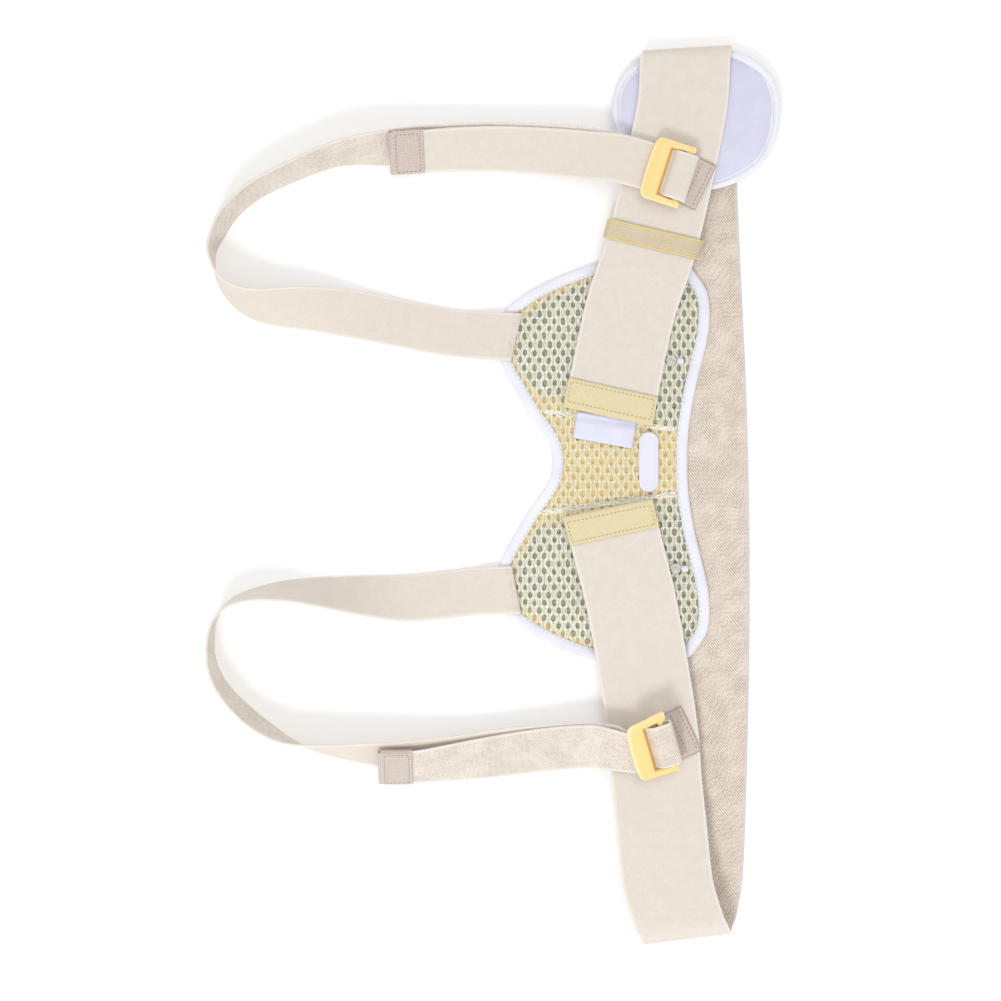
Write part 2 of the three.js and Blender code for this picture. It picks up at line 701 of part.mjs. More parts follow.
function padOutline(inset) {
  const middle = new THREE.Vector2(PAD_PLACE.across * BELT_WIDTH, PAD_PLACE.along * LOOP_LENGTH);
  const steps = 4;
  const count = PAD_OUTLINE.length;
  const points = [];
  for (let i = 0; i < count; i += 1) {
    for (let k = 0; k < steps; k += 1) {
      const t = k / steps;
      const [a, b, c, d] = [-1, 0, 1, 2].map((step) => PAD_OUTLINE[(i + step + count) % count]);
      const twice =
        2 * b + (c - a) * t + (2 * a - 5 * b + 4 * c - d) * t ** 2 + (3 * b - a - 3 * c + d) * t ** 3;
      const angle = ((i + t) * 2 * Math.PI) / count;
      const reach = (twice / 2) * PAD_LENGTH;
      points.push(new THREE.Vector2(reach, 0).rotateAround(new THREE.Vector2(), angle).add(middle));
    }
  }
  return insetLoop(points, inset);
}

const PAD_FLOOR = BELT_THICKNESS + CLEARANCE;
const PAD_MIDDLE = PAD_FLOOR + PAD_THICKNESS / 2;

function padBinding() {
  const low = () => PAD_MIDDLE - PAD_RIM / 2;
  const high = () => PAD_MIDDLE + PAD_RIM / 2;
  return boundEdge(padOutline(0), padOutline(PAD_BINDING_WIDTH), low, high);
}

// From the underside up. share: of the outline's reach. height: share of PAD_THICKNESS.
const PAD_LAYERS = [
  { share: 0.45, height: 0 },
  { share: 0.72, height: 0.05 },
  { share: 0.9, height: 0.17 },
  { share: 1, height: 0.33 },
  { share: 1, height: 0.67 },
  { share: 0.9, height: 0.83 },
  { share: 0.72, height: 0.95 },
  { share: 0.45, height: 1 },
];

function padCushion() {
  const edge = padOutline(PAD_BINDING_WIDTH + CLEARANCE);
  const middle = new THREE.Vector2();
  for (const point of edge) {
    middle.addScaledVector(point, 1 / edge.length);
  }
  const rings = PAD_LAYERS.map(({ share, height }) =>
    edge.map((point) => {
      const { x, y } = point.clone().sub(middle).multiplyScalar(share).add(middle);
      return new THREE.Vector3(x, y, PAD_FLOOR + height * PAD_THICKNESS);
    }),
  );
  return loft(rings);
}

// Buckles. In a buckle's own frame u follows the strap from the outer edge of the wide bar, v runs
// along the bar and w is up from the belt.

const WIDE_BAR_LOW = BUCKLE_TAB_THICKNESS + 2 * STRAP_THICKNESS + 3 * CLEARANCE;
const WIDE_BAR_HIGH = WIDE_BAR_LOW + WIDE_BAR_THICKNESS;
const LOWER_LAYER = BUCKLE_TAB_THICKNESS + CLEARANCE + STRAP_THICKNESS / 2;
const END_BAR_U = ARM_REACH - END_BAR_SETBACK;
const END_BAR_W = LOWER_LAYER + STRAP_THICKNESS / 2 + CLEARANCE + END_BAR_RADIUS;
const UPPER_LAYER = END_BAR_W + END_BAR_RADIUS + CLEARANCE + STRAP_THICKNESS / 2;
const OUT_LAYER = WIDE_BAR_LOW - CLEARANCE - STRAP_THICKNESS / 2;

function buckleFrame(side) {
  const { along, across, yaw, roll } = BUCKLES[side];
  const frames = side === "upper" ? upperFrontFrames : lowerFrontFrames;
  const y = along * LOOP_LENGTH;
  const under = frames.filter(({ p }) => Math.abs(p.y - y) < BUCKLE_LENGTH / 2);
  const seat = Math.max(...under.map(({ p }) => p.z)) + BELT_THICKNESS / 2 + CLEARANCE;
  const lift = Math.sin(roll * RAD) * (BUCKLE_LENGTH / 2);
  const matrix = new THREE.Matrix4()
    .makeTranslation(across * BELT_WIDTH, y, seat + lift)
    .multiply(new THREE.Matrix4().makeRotationZ(yaw * RAD))
    .multiply(new THREE.Matrix4().makeRotationX(roll * RAD));
  return { matrix, seat };
}

const wasm = await Module();
wasm.setup();

// A closed mesh as a solid that can be joined or cut.
function solidOf(geometry) {
  const bare = geometry.clone();
  bare.deleteAttribute("normal");
  bare.deleteAttribute("uv");
  const merged = mergeVertices(bare, 1e-4);
  const vertProperties = merged.attributes.position.array;
  const triVerts = new Uint32Array(merged.index.array);
  return new wasm.Manifold(new wasm.Mesh({ numProp: 3, vertProperties, triVerts }));
}

function geometryOf(solid) {
  const mesh = solid.getMesh();
  const geometry = new THREE.BufferGeometry();
  geometry.setAttribute("position", new THREE.BufferAttribute(mesh.vertProperties, 3));
  geometry.setIndex(new THREE.BufferAttribute(mesh.triVerts, 1));
  geometry.computeVertexNormals();
  return geometry;
}

// The wide bar: a plate with rounded outer corners.
function wideBar() {
  const half = BUCKLE_LENGTH / 2;
  const corner = WIDE_BAR_CORNER;
  const shape = new THREE.Shape();
  shape.moveTo(WIDE_BAR, -half);
  shape.lineTo(WIDE_BAR, half);
  shape.lineTo(corner, half);
  shape.quadraticCurveTo(0, half, 0, half - corner);
  shape.lineTo(0, corner - half);
  shape.quadraticCurveTo(0, -half, corner, -half);
  return new THREE.ExtrudeGeometry(shape, {
    depth: WIDE_BAR_THICKNESS,
    bevelEnabled: false,
    curveSegments: 5,
  }).translate(0, 0, WIDE_BAR_LOW);
}

const ARM_WIDTH = (BUCKLE_LENGTH - STRAP_WIDTH) / 2 - CLEARANCE;

// An arm, drawn from the side: from the wide bar down to the end bar.
function arm(side) {
  const low = END_BAR_W - END_BAR_RADIUS - 2 * CLEARANCE;
  const start = WIDE_BAR / 2;
  const shape = new THREE.Shape();
  shape.moveTo(start, WIDE_BAR_LOW);
  shape.lineTo(WIDE_BAR, WIDE_BAR_LOW);
  shape.lineTo(END_BAR_U - END_BAR_RADIUS, low);
  shape.lineTo(ARM_REACH - END_BAR_RADIUS, low);
  shape.quadraticCurveTo(ARM_REACH, END_BAR_W, ARM_REACH - END_BAR_RADIUS, WIDE_BAR_HIGH - CLEARANCE);
  shape.lineTo(WIDE_BAR, WIDE_BAR_HIGH);
  shape.lineTo(start, WIDE_BAR_HIGH);
  const geometry = new THREE.ExtrudeGeometry(shape, {
    depth: ARM_WIDTH,
    bevelEnabled: false,
    curveSegments: 4,
  });
  const innerSide = side > 0 ? ARM_WIDTH - BUCKLE_LENGTH / 2 : BUCKLE_LENGTH / 2;
  return geometry.rotateX(Math.PI / 2).translate(0, innerSide, 0);
}

function endBar() {
  const bar = new THREE.CylinderGeometry(END_BAR_RADIUS, END_BAR_RADIUS, BUCKLE_LENGTH - ARM_WIDTH, 12);
  return bar.translate(END_BAR_U, 0, END_BAR_W);
}

function buckle(side) {
  const solid = solidOf(wideBar()).add(solidOf(arm(1))).add(solidOf(arm(-1))).add(solidOf(endBar()));
  return geometryOf(solid).applyMatrix4(buckleFrame(side).matrix);
}

// The hook tab under a buckle, on the belt: a strip as wide as the strap.
function buckleTab(side) {
  const { matrix, seat } = buckleFrame(side);
  const { tab, yaw } = BUCKLES[side];
  const origin = new THREE.Vector3().setFromMatrixPosition(matrix);
  const way = new THREE.Vector3(Math.cos(yaw * RAD), Math.sin(yaw * RAD), 0);
  const tabWay = new THREE.Vector3(Math.cos(tab.yaw * RAD), Math.sin(tab.yaw * RAD), 0);
  const across = new THREE.Vector3(tabWay.y, -tabWay.x, 0);
  const middle = origin.addScaledVector(way, tab.start + BUCKLE_TAB_LENGTH / 2);
  middle.z = seat + BUCKLE_TAB_THICKNESS / 2;
  const stations = [-0.5, 0.5].map((share) => ({
    p: middle.clone().addScaledVector(tabWay, share * BUCKLE_TAB_LENGTH),
    w: across,
  }));
  return ribbon(stations, STRAP_WIDTH, BUCKLE_TAB_THICKNESS);
}

// Leg straps

// Height of the middle of a strap that rests with its lower edge on something flat.
function restingHeight(roll) {
  const edge = Math.abs(Math.sin(roll * RAD)) * (STRAP_WIDTH / 2);
  return edge + Math.abs(Math.cos(roll * RAD)) * (STRAP_THICKNESS / 2);
}

// From the panel corner round the leg loop to just before the buckle.
function legLoop(side) {
  const out = side === "upper" ? UPPER_OUT : LOWER_OUT;
  const back = side === "upper" ? UPPER_BACK : LOWER_BACK;
  const corner = CORNERS[side];
  const { matrix, seat } = buckleFrame(side);
  const buckleAt = new THREE.Vector3().setFromMatrixPosition(matrix);
  const cornerX = corner.across * PANEL_WIDTH;
  const cornerY = (corner.side * corner.along * PANEL_LENGTH) / 2;
  const farX = cornerX - STRAP_REACH;
  const spanY = (span) => lerp(cornerY, buckleAt.y, span);
  const points = [
    ...out.map((row) => ({
      x: cornerX - row.reach * STRAP_REACH,
      y: spanY(row.span),
      z: restingHeight(row.roll) + row.perch * (BINDING_THICKNESS + 3 * CLEARANCE),
      roll: row.roll,
    })),
    ...back.map((row) => ({
      x: lerp(farX, buckleAt.x, row.run),
      y: spanY(row.span),
      z: restingHeight(row.roll) + row.hold * seat,
      roll: row.roll,
    })),
  ];
  const distance = (a, b) => Math.hypot(b.x - a.x, b.y - a.y, b.z - a.z);
  const rows = smoothRows(points, STEPS_PER_ROW, distance);
  // The plain side faces out of the loop, which lies left of the upper way and right of the lower.
  return rows.map((row, i) => {
    const before = rows[Math.max(i - 1, 0)];
    const after = rows[Math.min(i + 1, rows.length - 1)];
    const heading = new THREE.Vector3(after.x - before.x, after.y - before.y, 0).normalize();
    const outward = new THREE.Vector3(-heading.y, heading.x, 0).multiplyScalar(corner.side);
    const w = outward
      .multiplyScalar(Math.cos(row.roll * RAD))
      .addScaledVector(UP, -Math.sin(row.roll * RAD));
    const z = Math.max(row.z, restingHeight(row.roll));
    return { p: new THREE.Vector3(row.x, row.y, z), w };
  });
}

// The strap's way into a buckle on the belt, and out of it under the wide bar. bar: share of
// WIDE_BAR from its outer edge. layer: share of LOWER_LAYER. rise: share of the way from OUT_LAYER
// up to UPPER_LAYER.
const WAY_IN = [
  { bar: 0.1, layer: 0.55 },
  { bar: 0.57, layer: 0.8 },
  { bar: 1.19, layer: 1 },
  { bar: 2.17, layer: 1 },
];
const WAY_OUT = [
  { bar: 1.98, rise: 1 },
  { bar: 1.62, rise: 0.92 },
  { bar: 1.33, rise: 0.5 },
  { bar: 1.1, rise: 0.05 },
  { bar: 0.9, rise: 0 },
  { bar: 0.4, rise: -0.03 },
  { bar: 0, rise: -0.16 },
];

// Through the buckle: in on the belt, round the end bar and back out under the wide bar.
function throughBuckle(side) {
  const { matrix } = buckleFrame(side);
  const curlRadius = (UPPER_LAYER - LOWER_LAYER) / 2;
  const curlU = END_BAR_U + END_BAR_RADIUS + CURL_SLACK;
  const curlW = (UPPER_LAYER + LOWER_LAYER) / 2;
  const path = WAY_IN.map(({ bar, layer }) => ({ u: bar * WIDE_BAR, w: layer * LOWER_LAYER }));
  for (let k = 0; k <= CURL_STEPS; k += 1) {
    const angle = (Math.PI * k) / CURL_STEPS;
    path.push({ u: curlU + curlRadius * Math.sin(angle), w: curlW - curlRadius * Math.cos(angle) });
  }
  for (const { bar, rise } of WAY_OUT) {
    path.push({ u: bar * WIDE_BAR, w: lerp(OUT_LAYER, UPPER_LAYER, rise) });
  }
  const across = new THREE.Vector3(0, -1, 0).transformDirection(matrix);
  return path.map(({ u, w }) => ({
    p: new THREE.Vector3(u, 0, w).applyMatrix4(matrix),
    w: across,
  }));
}

// The free end: back over the layer that came in.
function freeEnd(side, loopFrames) {
  const rows = side === "upper" ? UPPER_FREE : LOWER_FREE;
  const { matrix } = buckleFrame(side);
  const farX = CORNERS[side].across * PANEL_WIDTH - STRAP_REACH;
  const nearX = new THREE.Vector3().setFromMatrixPosition(matrix).x;
  const distance = (a, b) => Math.abs(b.run - a.run);
  const under = (x) => {
    let nearest = loopFrames.length - 2;
    while (nearest > 0 && loopFrames[nearest].p.x > x) {
      nearest -= 1;
    }
    const a = loopFrames[nearest];
    const b = loopFrames[nearest + 1];
    const share = (x - a.p.x) / (b.p.x - a.p.x);
    const w = a.w.clone().lerp(b.w, share).normalize();
    const n = a.n.clone().lerp(b.n, share).normalize();
    return { p: a.p.clone().lerp(b.p, share), w, up: n.multiplyScalar(Math.sign(n.z)) };
  };
  // The tab at the end doesn't twist: it keeps the lean of the strap where the tab starts.
  const straight = STRAP_TAB_LENGTH + STRAP_TAB_MARGIN;
  const tabX = lerp(farX, nearX, rows[rows.length - 1].run) + straight;
  return smoothRows(rows, STEPS_PER_ROW, distance).map((row) => {
    const x = lerp(farX, nearX, row.run);
    const { w, up } = under(Math.max(x, tabX));
    const p = under(x)
      .p.addScaledVector(up, STRAP_THICKNESS + CLEARANCE + row.away * STRAP_WIDTH)
      .addScaledVector(w, row.slide * STRAP_WIDTH);
    return { p, w };
  });
}

function strapStations(side) {
  const loop = legLoop(side);
  const loopFrames = withFrames(loop);
  return [...loop, ...throughBuckle(side), ...freeEnd(side, loopFrames)];
}

function legStrap(side) {
  return ribbon(strapStations(side), STRAP_WIDTH, STRAP_THICKNESS);
}

function strapTab(side) {
  const frames = withFrames(strapStations(side)).reverse();
  return foldedTab(endFrames(frames, STRAP_TAB_LENGTH), STRAP_THICKNESS, STRAP_WIDTH + CLEARANCE);
}

// Colours and surfaces

const CREAM = { color: 0xede3d8, roughness: 0.9, metalness: 0 };
const TAB_YELLOW = { color: 0xebdbaa, roughness: 0.9, metalness: 0 };
const TAB_GREY = { color: 0xddd0c6, roughness: 0.9, metalness: 0 };
const KEEPER_BEIGE = { color: 0xd9cbae, roughness: 0.85, metalness: 0 };
const MESH_GREEN = { color: 0xd8d8b4, roughness: 0.8, metalness: 0 };
const WHITE = { color: 0xf6f6fa, roughness: 0.7, metalness: 0 };
const PLATE_WHITE = { color: 0xf8f8fa, roughness: 0.35, metalness: 0 };
const CLEAR = { color: 0xe9ecea, roughness: 0.1, metalness: 0, transparent: true, opacity: 0.5 };
const BUCKLE_YELLOW = { color: 0xfce39c, roughness: 0.35, metalness: 0 };
const LAVENDER = { color: 0xdcd9ee, roughness: 0.85, metalness: 0 };

const belt = new THREE.Group();

function add(name, geometry, finish, place) {
  const mesh = new THREE.Mesh(geometry, new THREE.MeshStandardMaterial(finish));
  mesh.name = name;
  if (place) {
    mesh.position.copy(place);
  }
  belt.add(mesh);
}

add("waist_belt", waistBelt(), CREAM);
add("belt_tab_upper", beltTab(upperFrontFrames), TAB_YELLOW);
add("belt_tab_lower", beltTab(lowerFrontFrames), TAB_YELLOW);
add("elastic_keeper", elasticKeeper(), KEEPER_BEIGE);
add("panel_mesh", panelMesh(), MESH_GREEN);
add("panel_binding", panelBinding(), WHITE);
add("label", label(), WHITE);

const plateX = PLATE_PLACE.across * PANEL_WIDTH;
const plateY = (PLATE_PLACE.along * PANEL_LENGTH) / 2;
const plateZ = panelBase(plateX + PLATE_WIDTH / 2) + MIDDLE_THICKNESS + CLEARANCE;
add("oblong_plate", oblongPlate(), PLATE_WHITE, new THREE.Vector3(plateX, plateY, plateZ));

for (const side of ["upper", "lower"]) {
  const stud = studPlace(side);
  const pinX = stud.x + STUD_RADIUS + CLEARANCE + PIN_LENGTH / 2;
  const pinZ = panelTop(pinX - PIN_LENGTH / 2, stud.y) + 3 * CLEARANCE + PIN_WIDTH / 2;
  add(`clear_stud_${side}`, clearStud(), CLEAR, stud);
  add(
    `stud_pin_${side}`,
    new THREE.BoxGeometry(PIN_LENGTH, PIN_WIDTH, PIN_WIDTH),
    PLATE_WHITE,
    new THREE.Vector3(pinX, stud.y, pinZ),
  );
  add(`leg_strap_${side}`, legStrap(side), CREAM);
  add(`strap_tab_${side}`, strapTab(side), TAB_GREY);
  add(`buckle_${side}`, buckle(side), BUCKLE_YELLOW);
  add(`buckle_tab_${side}`, buckleTab(side), TAB_GREY);
}

add("pad_cushion", padCushion(), LAVENDER);
add("pad_binding", padBinding(), WHITE);

// The origin: under the middle of the whole belt, on the table.
const box = new THREE.Box3().setFromObject(belt, true);
const middle = box.getCenter(new THREE.Vector3());
belt.position.set(-middle.x, -middle.y, -box.min.z);

export default belt;
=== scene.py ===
import math

import bpy
import numpy as np
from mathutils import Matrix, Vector


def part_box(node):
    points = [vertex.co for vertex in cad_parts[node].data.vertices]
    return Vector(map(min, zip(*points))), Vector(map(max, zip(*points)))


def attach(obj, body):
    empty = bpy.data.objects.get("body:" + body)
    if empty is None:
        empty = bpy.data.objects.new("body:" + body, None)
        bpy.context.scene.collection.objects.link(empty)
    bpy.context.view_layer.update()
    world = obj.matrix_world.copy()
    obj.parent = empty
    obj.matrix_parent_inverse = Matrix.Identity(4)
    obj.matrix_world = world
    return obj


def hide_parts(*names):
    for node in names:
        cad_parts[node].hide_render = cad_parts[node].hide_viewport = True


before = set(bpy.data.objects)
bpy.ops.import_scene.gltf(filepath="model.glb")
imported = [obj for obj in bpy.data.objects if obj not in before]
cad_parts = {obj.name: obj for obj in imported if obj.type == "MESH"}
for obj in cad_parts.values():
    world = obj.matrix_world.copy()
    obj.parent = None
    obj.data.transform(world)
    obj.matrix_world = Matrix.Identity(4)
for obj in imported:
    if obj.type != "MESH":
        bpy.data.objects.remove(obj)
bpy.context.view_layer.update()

MM = 0.001
UP = np.array([0.0, 0.0, 1.0])
noise_rng = np.random.default_rng(7)

CLEARANCE = 0.3
LOOP_LENGTH = 595
BELT_WIDTH = 60
BELT_THICKNESS = 1.8
BEND_HEIGHT = 20
FOLD_CLOTH = 0.8
BELT_TAB_LENGTH = 18
KEEPER_WIDTH = 13
KEEPER_THICKNESS = 1.2
KEEPER_ALONG = 0.248
PANEL_LENGTH = 266
PANEL_WIDTH = 141
PANEL_THICKNESS = 6.5
MIDDLE_THICKNESS = 3.6
BINDING_WIDTH = 7.5
BINDING_THICKNESS = 3.2
POCKET_SLOPE = 15
LABEL_LENGTH = 40
LABEL_WIDTH = 18
PLATE_LENGTH = 40
PLATE_WIDTH = 13
STRAP_WIDTH = 32
STRAP_THICKNESS = 1.6
STRAP_REACH = 200
STRAP_TAB_LENGTH = 21
STRAP_TAB_MARGIN = 2
BUCKLE_LENGTH = 42
WIDE_BAR = 10.5
WIDE_BAR_THICKNESS = 3
END_BAR_RADIUS = 1.75
ARM_REACH = 27
END_BAR_SETBACK = 4.2
CURL_SLACK = 2
BUCKLE_TAB_LENGTH = 25
BUCKLE_TAB_THICKNESS = 1.5
PAD_LENGTH = 112
PAD_THICKNESS = 9.5
PAD_RIM = 4
PAD_BINDING_WIDTH = 5.5
PANEL_SEAT = PANEL_THICKNESS + FOLD_CLOTH + BELT_THICKNESS + 3 * CLEARANCE
PAD_SEAT = PAD_THICKNESS + BELT_THICKNESS + 2 * CLEARANCE

# along, across, turn, panel, pad, loose: as in the part's source
UPPER_FRONT = [
    (0.0532, 0.081, -12.5, 1), (0.0844, 0.146, -12.5, 1), (0.1714, 0.333, -14.5, 0.95),
    (0.2375, 0.55, -14, 0.4, 0.6), (0.2936, 0.689, -10, 0, 1), (0.3552, 0.822, -7, 0, 1),
    (0.4056, 0.911, -3, 0, 1),
]
BACK_RUN = [
    (0.4056, 1.0, 1), (0.3048, 1.022, -1), (0.2039, 1.067, -2), (0.0695, 1.125, -1), (-0.0695, 1.156, 0),
    (-0.2106, 1.156, 0), (-0.3339, 1.132, 1), (-0.4347, 1.1, 2), (-0.475, 1.075, 3),
]
LOWER_FRONT = [
    (-0.49, 0.79, 5, 0, 0, 0.95), (-0.465, 0.73, 4, 0, 0, 0.85), (-0.4011, 0.667, 3, 0, 0, 0.58),
    (-0.3563, 0.622, 3, 0, 0, 0.42), (-0.3092, 0.589, 5, 0, 0, 0.4), (-0.2443, 0.495, 9, 0.5, 0, 0.15),
    (-0.1535, 0.331, 13, 0.95), (-0.0874, 0.167, 12.5, 1), (-0.0543, 0.077, 11.5, 1),
]
# along, across, turn
FOLD_CREST = (0.4627, 0.96, 3.5)
BEND_CREST = (-0.5322, 0.95, 7)
FOLD_STEPS = 8

# along, left, right
PANEL_OUTLINE = [
    (0, -0.227, 0.412), (0.07, -0.236, 0.412), (0.14, -0.27, 0.415), (0.25, -0.345, 0.429),
    (0.37, -0.41, 0.45), (0.495, -0.474, 0.479), (0.65, -0.483, 0.512), (0.76, -0.455, 0.517),
    (0.81, -0.4, 0.513), (0.865, -0.325, 0.5), (0.935, -0.19, 0.455), (0.975, -0.085, 0.425),
    (1, 0, 0.38),
]
PAD_OUTLINE = [0.5, 0.522, 0.465, 0.372, 0.43, 0.51, 0.494, 0.446, 0.417, 0.426, 0.446, 0.485]
PAD_PLACE = (0.3832, 1.055)

# Straps out from the corner: reach, span, roll, perch. Back to the buckle: run, span, roll, hold.
OUT = {
    "upper": [
        (0, 0, 0, 1), (0.05, 0.004, 0, 1), (0.095, 0.01, 0, 0.6), (0.145, 0.018, 0, 0.1),
        (0.22, 0.031, 0, 0), (0.387, 0.087, 2, 0), (0.553, 0.143, 9, 0), (0.653, 0.164, 22, 0),
        (0.72, 0.173, 30, 0), (0.787, 0.176, 39, 0), (0.853, 0.19, 51, 0), (0.905, 0.224, 63, 0),
        (0.948, 0.278, 75, 0), (0.98, 0.35, 84, 0), (0.997, 0.437, 90, 0),
    ],
    "lower": [
        (0, 0, 0, 1), (0.052, 0.001, 0, 1), (0.095, 0.004, 0, 0.6), (0.145, 0.011, 0, 0.1),
        (0.218, 0.026, 4, 0), (0.318, 0.046, 9, 0), (0.385, 0.048, 17, 0), (0.452, 0.039, 29, 0),
        (0.518, 0.029, 38, 0), (0.585, 0.018, 47, 0), (0.652, 0.007, 55, 0), (0.718, 0.001, 63, 0),
        (0.785, 0.004, 70, 0), (0.852, 0.02, 77, 0), (0.912, 0.051, 82, 0), (0.952, 0.095, 86, 0),
        (0.985, 0.165, 89, 0), (1.0, 0.25, 92, 0), (1.005, 0.36, 94, 0),
    ],
}
BACK = {
    "upper": [
        (0.001, 0.525, 97, 0), (0.014, 0.609, 102, 0), (0.0325, 0.698, 105, 0), (0.0626, 0.787, 106, 0),
        (0.107, 0.873, 107, 0), (0.195, 0.985, 110, 0), (0.288, 1.077, 116, 0), (0.3805, 1.11, 129, 0),
        (0.485, 1.125, 143, 0), (0.636, 1.135, 152, 0.03), (0.726, 1.125, 158, 0.22),
        (0.798, 1.11, 163, 0.55), (0.87, 1.085, 172, 0.9), (0.92, 1.062, 178, 1), (0.972, 1.028, 180, 1),
    ],
    "lower": [
        (0.003, 0.485, 97, 0), (0.022, 0.597, 100, 0), (0.052, 0.697, 103, 0), (0.088, 0.79, 104, 0),
        (0.1265, 0.865, 102, 0), (0.1626, 0.921, 97, 0), (0.194, 0.956, 90, 0), (0.232, 0.983, 82, 0),
        (0.288, 1.006, 73, 0), (0.348, 1.02, 64, 0), (0.42, 1.035, 54, 0), (0.502, 1.04, 44, 0),
        (0.589, 1.03, 35, 0.02), (0.68, 1.005, 27, 0.15), (0.782, 0.98, 23, 0.5),
        (0.878, 0.965, 23, 0.85), (0.955, 0.975, 25, 1),
    ],
}
# run, away, slide
FREE = {
    "upper": [
        (0.93, 0.01, 0.02), (0.86, 0.01, 0.07), (0.7, 0.01, 0.06),
        (0.55, 0.04, 0.04), (0.46, 0.09, 0.03), (0.412, 0.11, 0.03),
    ],
    "lower": [
        (0.91, 0.01, 0.01), (0.8, 0.01, 0.05), (0.68, 0.04, 0.09),
        (0.58, 0.08, 0.09), (0.47, 0.15, 0.11), (0.402, 0.18, 0.11),
    ],
}
# along, across, side
CORNERS = {"upper": (0.624, -0.41, 1), "lower": (0.642, -0.41, -1)}
# along, across, yaw, roll, start and yaw of the hook tab
BUCKLES = {
    "upper": (0.3283, 0.522, -18, 0, 15.5, -26),
    "lower": (-0.3205, 0.339, 17, 25, 17, 25),
}
STEPS_PER_ROW = 3
LABEL_PLACE = (0.02, 0.16, -10.5)
PLATE_PLACE = (0.227, 0)


def lerp(a, b, t):
    return a + (b - a) * t


def smoothstep(x):
    t = np.clip(x, 0, 1)
    return t * t * (3 - 2 * t)


def unit(v):
    v = np.asarray(v, float)
    return v / np.maximum(np.linalg.norm(v, axis=-1, keepdims=True), 1e-12)


def curve(rows, at, where):
    """The cubic through rows, which lie at these distances, read at the distances in where."""
    rows, at = np.asarray(rows, float), np.asarray(at, float)
    last = len(rows) - 1
    before = np.maximum(np.arange(last + 1) - 1, 0)
    after = np.minimum(np.arange(last + 1) + 1, last)
    slope = (rows[after] - rows[before]) / (at[after] - at[before])[:, None]
    i = np.clip(np.searchsorted(at, where, "right") - 1, 0, last - 1)
    length = (at[i + 1] - at[i])[:, None]
    t = (np.asarray(where)[:, None] - at[i][:, None]) / length
    return (
        (2 * t**3 - 3 * t**2 + 1) * rows[i]
        + (t**3 - 2 * t**2 + t) * length * slope[i]
        + (3 * t**2 - 2 * t**3) * rows[i + 1]
        + (t**3 - t**2) * length * slope[i + 1]
    )


def reach_along(points):
    return np.concatenate([[0], np.cumsum(np.linalg.norm(np.diff(points, axis=0), axis=1))])


def row_samples(at, steps=STEPS_PER_ROW):
    inner = [lerp(a, b, k / steps) for a, b in zip(at[:-1], at[1:]) for k in range(steps)]
    return np.array(inner + [at[-1]])


def ways(p, closed=False):
    """The way along a path at each of its points."""
    return unit(np.roll(p, -1, 0) - np.roll(p, 1, 0) if closed else np.gradient(p, axis=0))


def normals(p, w, closed=False):
    """The way through the cloth, for points p and the unit vectors w across."""
    return unit(np.cross(ways(p, closed), w))


def resample(p, w, step, closed=False):
    """Points and vectors across at even steps along a path."""
    if closed:
        p, w = np.vstack([p, p[:1]]), np.vstack([w, w[:1]])
    at = reach_along(p)
    where = np.linspace(0, at[-1], max(int(round(at[-1] / step)), 2) + 1)
    q, v = curve(p, at, where), unit(curve(w, at, where))
    return (q[:-1], v[:-1]) if closed else (q, v)


# Waist belt


def belt_point(along, across, turn, panel=0, pad=0, loose=0):
    z = BELT_THICKNESS / 2 + panel * PANEL_SEAT + pad * PAD_SEAT + loose * BEND_HEIGHT
    return across * BELT_WIDTH, along * LOOP_LENGTH, z, turn


def fold_rows(crest, front, back, height):
    """Rows round a fold of the band, from its front run to its back run."""
    radius = height / 2
    outward = math.copysign(1, crest[0])
    centre_y = crest[0] * LOOP_LENGTH - outward * (radius + BELT_THICKNESS / 2)
    rows = []
    for k in range(FOLD_STEPS + 1):
        angle = math.pi * k / FOLD_STEPS
        side = front if math.cos(angle) > 0 else back
        share = (1 - math.sin(angle)) / 2
        y = centre_y + outward * radius * math.sin(angle)
        z = BELT_THICKNESS / 2 + radius * (1 + math.cos(angle))
        rows.append((lerp(crest[1] * BELT_WIDTH, side[0], share), y, z, lerp(crest[2], side[3], share)))
    return rows


def belt_path(step=None):
    """Points and vectors across of the band, at even steps or as in the part."""
    front, back, lower = ([belt_point(*row) for row in rows] for rows in (UPPER_FRONT, BACK_RUN, LOWER_FRONT))
    fold = fold_rows(FOLD_CREST, front[-1], back[0], PAD_SEAT)
    bend = fold_rows(BEND_CREST, lower[0], back[-1], BEND_HEIGHT)[::-1]
    rows = np.array(front + fold + back + bend + lower)
    at = reach_along(rows[:, :3])
    where = np.linspace(0, at[-1], int(at[-1] / step) + 1) if step else row_samples(at)
    made = curve(rows, at, where)
    made[:, 2] = np.maximum(made[:, 2], BELT_THICKNESS / 2)
    turn = np.radians(made[:, 3])
    return made[:, :3], np.stack([np.cos(turn), np.sin(turn), 0 * turn], 1)


p, w = belt_path()
upper_count, lower_count = ((len(rows) - 1) * STEPS_PER_ROW + 1 for rows in (UPPER_FRONT, LOWER_FRONT))
front_frames = {
    "upper": [a[:upper_count] for a in (p, w, normals(p, w))],
    "lower": [a[-lower_count:][::-1] for a in (p, w, normals(p, w))],
}


def belt_at(side, y):
    p, w, _ = front_frames[side]
    i = max(i for i in range(len(p) - 1) if (p[i][1] - y) * (p[i + 1][1] - y) <= 0)
    share = (y - p[i][1]) / (p[i + 1][1] - p[i][1])
    return lerp(p[i], p[i + 1], share), unit(lerp(w[i], w[i + 1], share)), unit(p[i + 1] - p[i])


# Mesh panel

BACK_RUN_EDGE = (BACK_RUN[1][1] - 0.5) * BELT_WIDTH
PANEL_DRAPE = 55
SEAM_X, SEAM_Y, SEAM_LEAN = 24, 24.5, 0.14
SEAM_DEPTH, SEAM_SPREAD = 0.9, 2.2


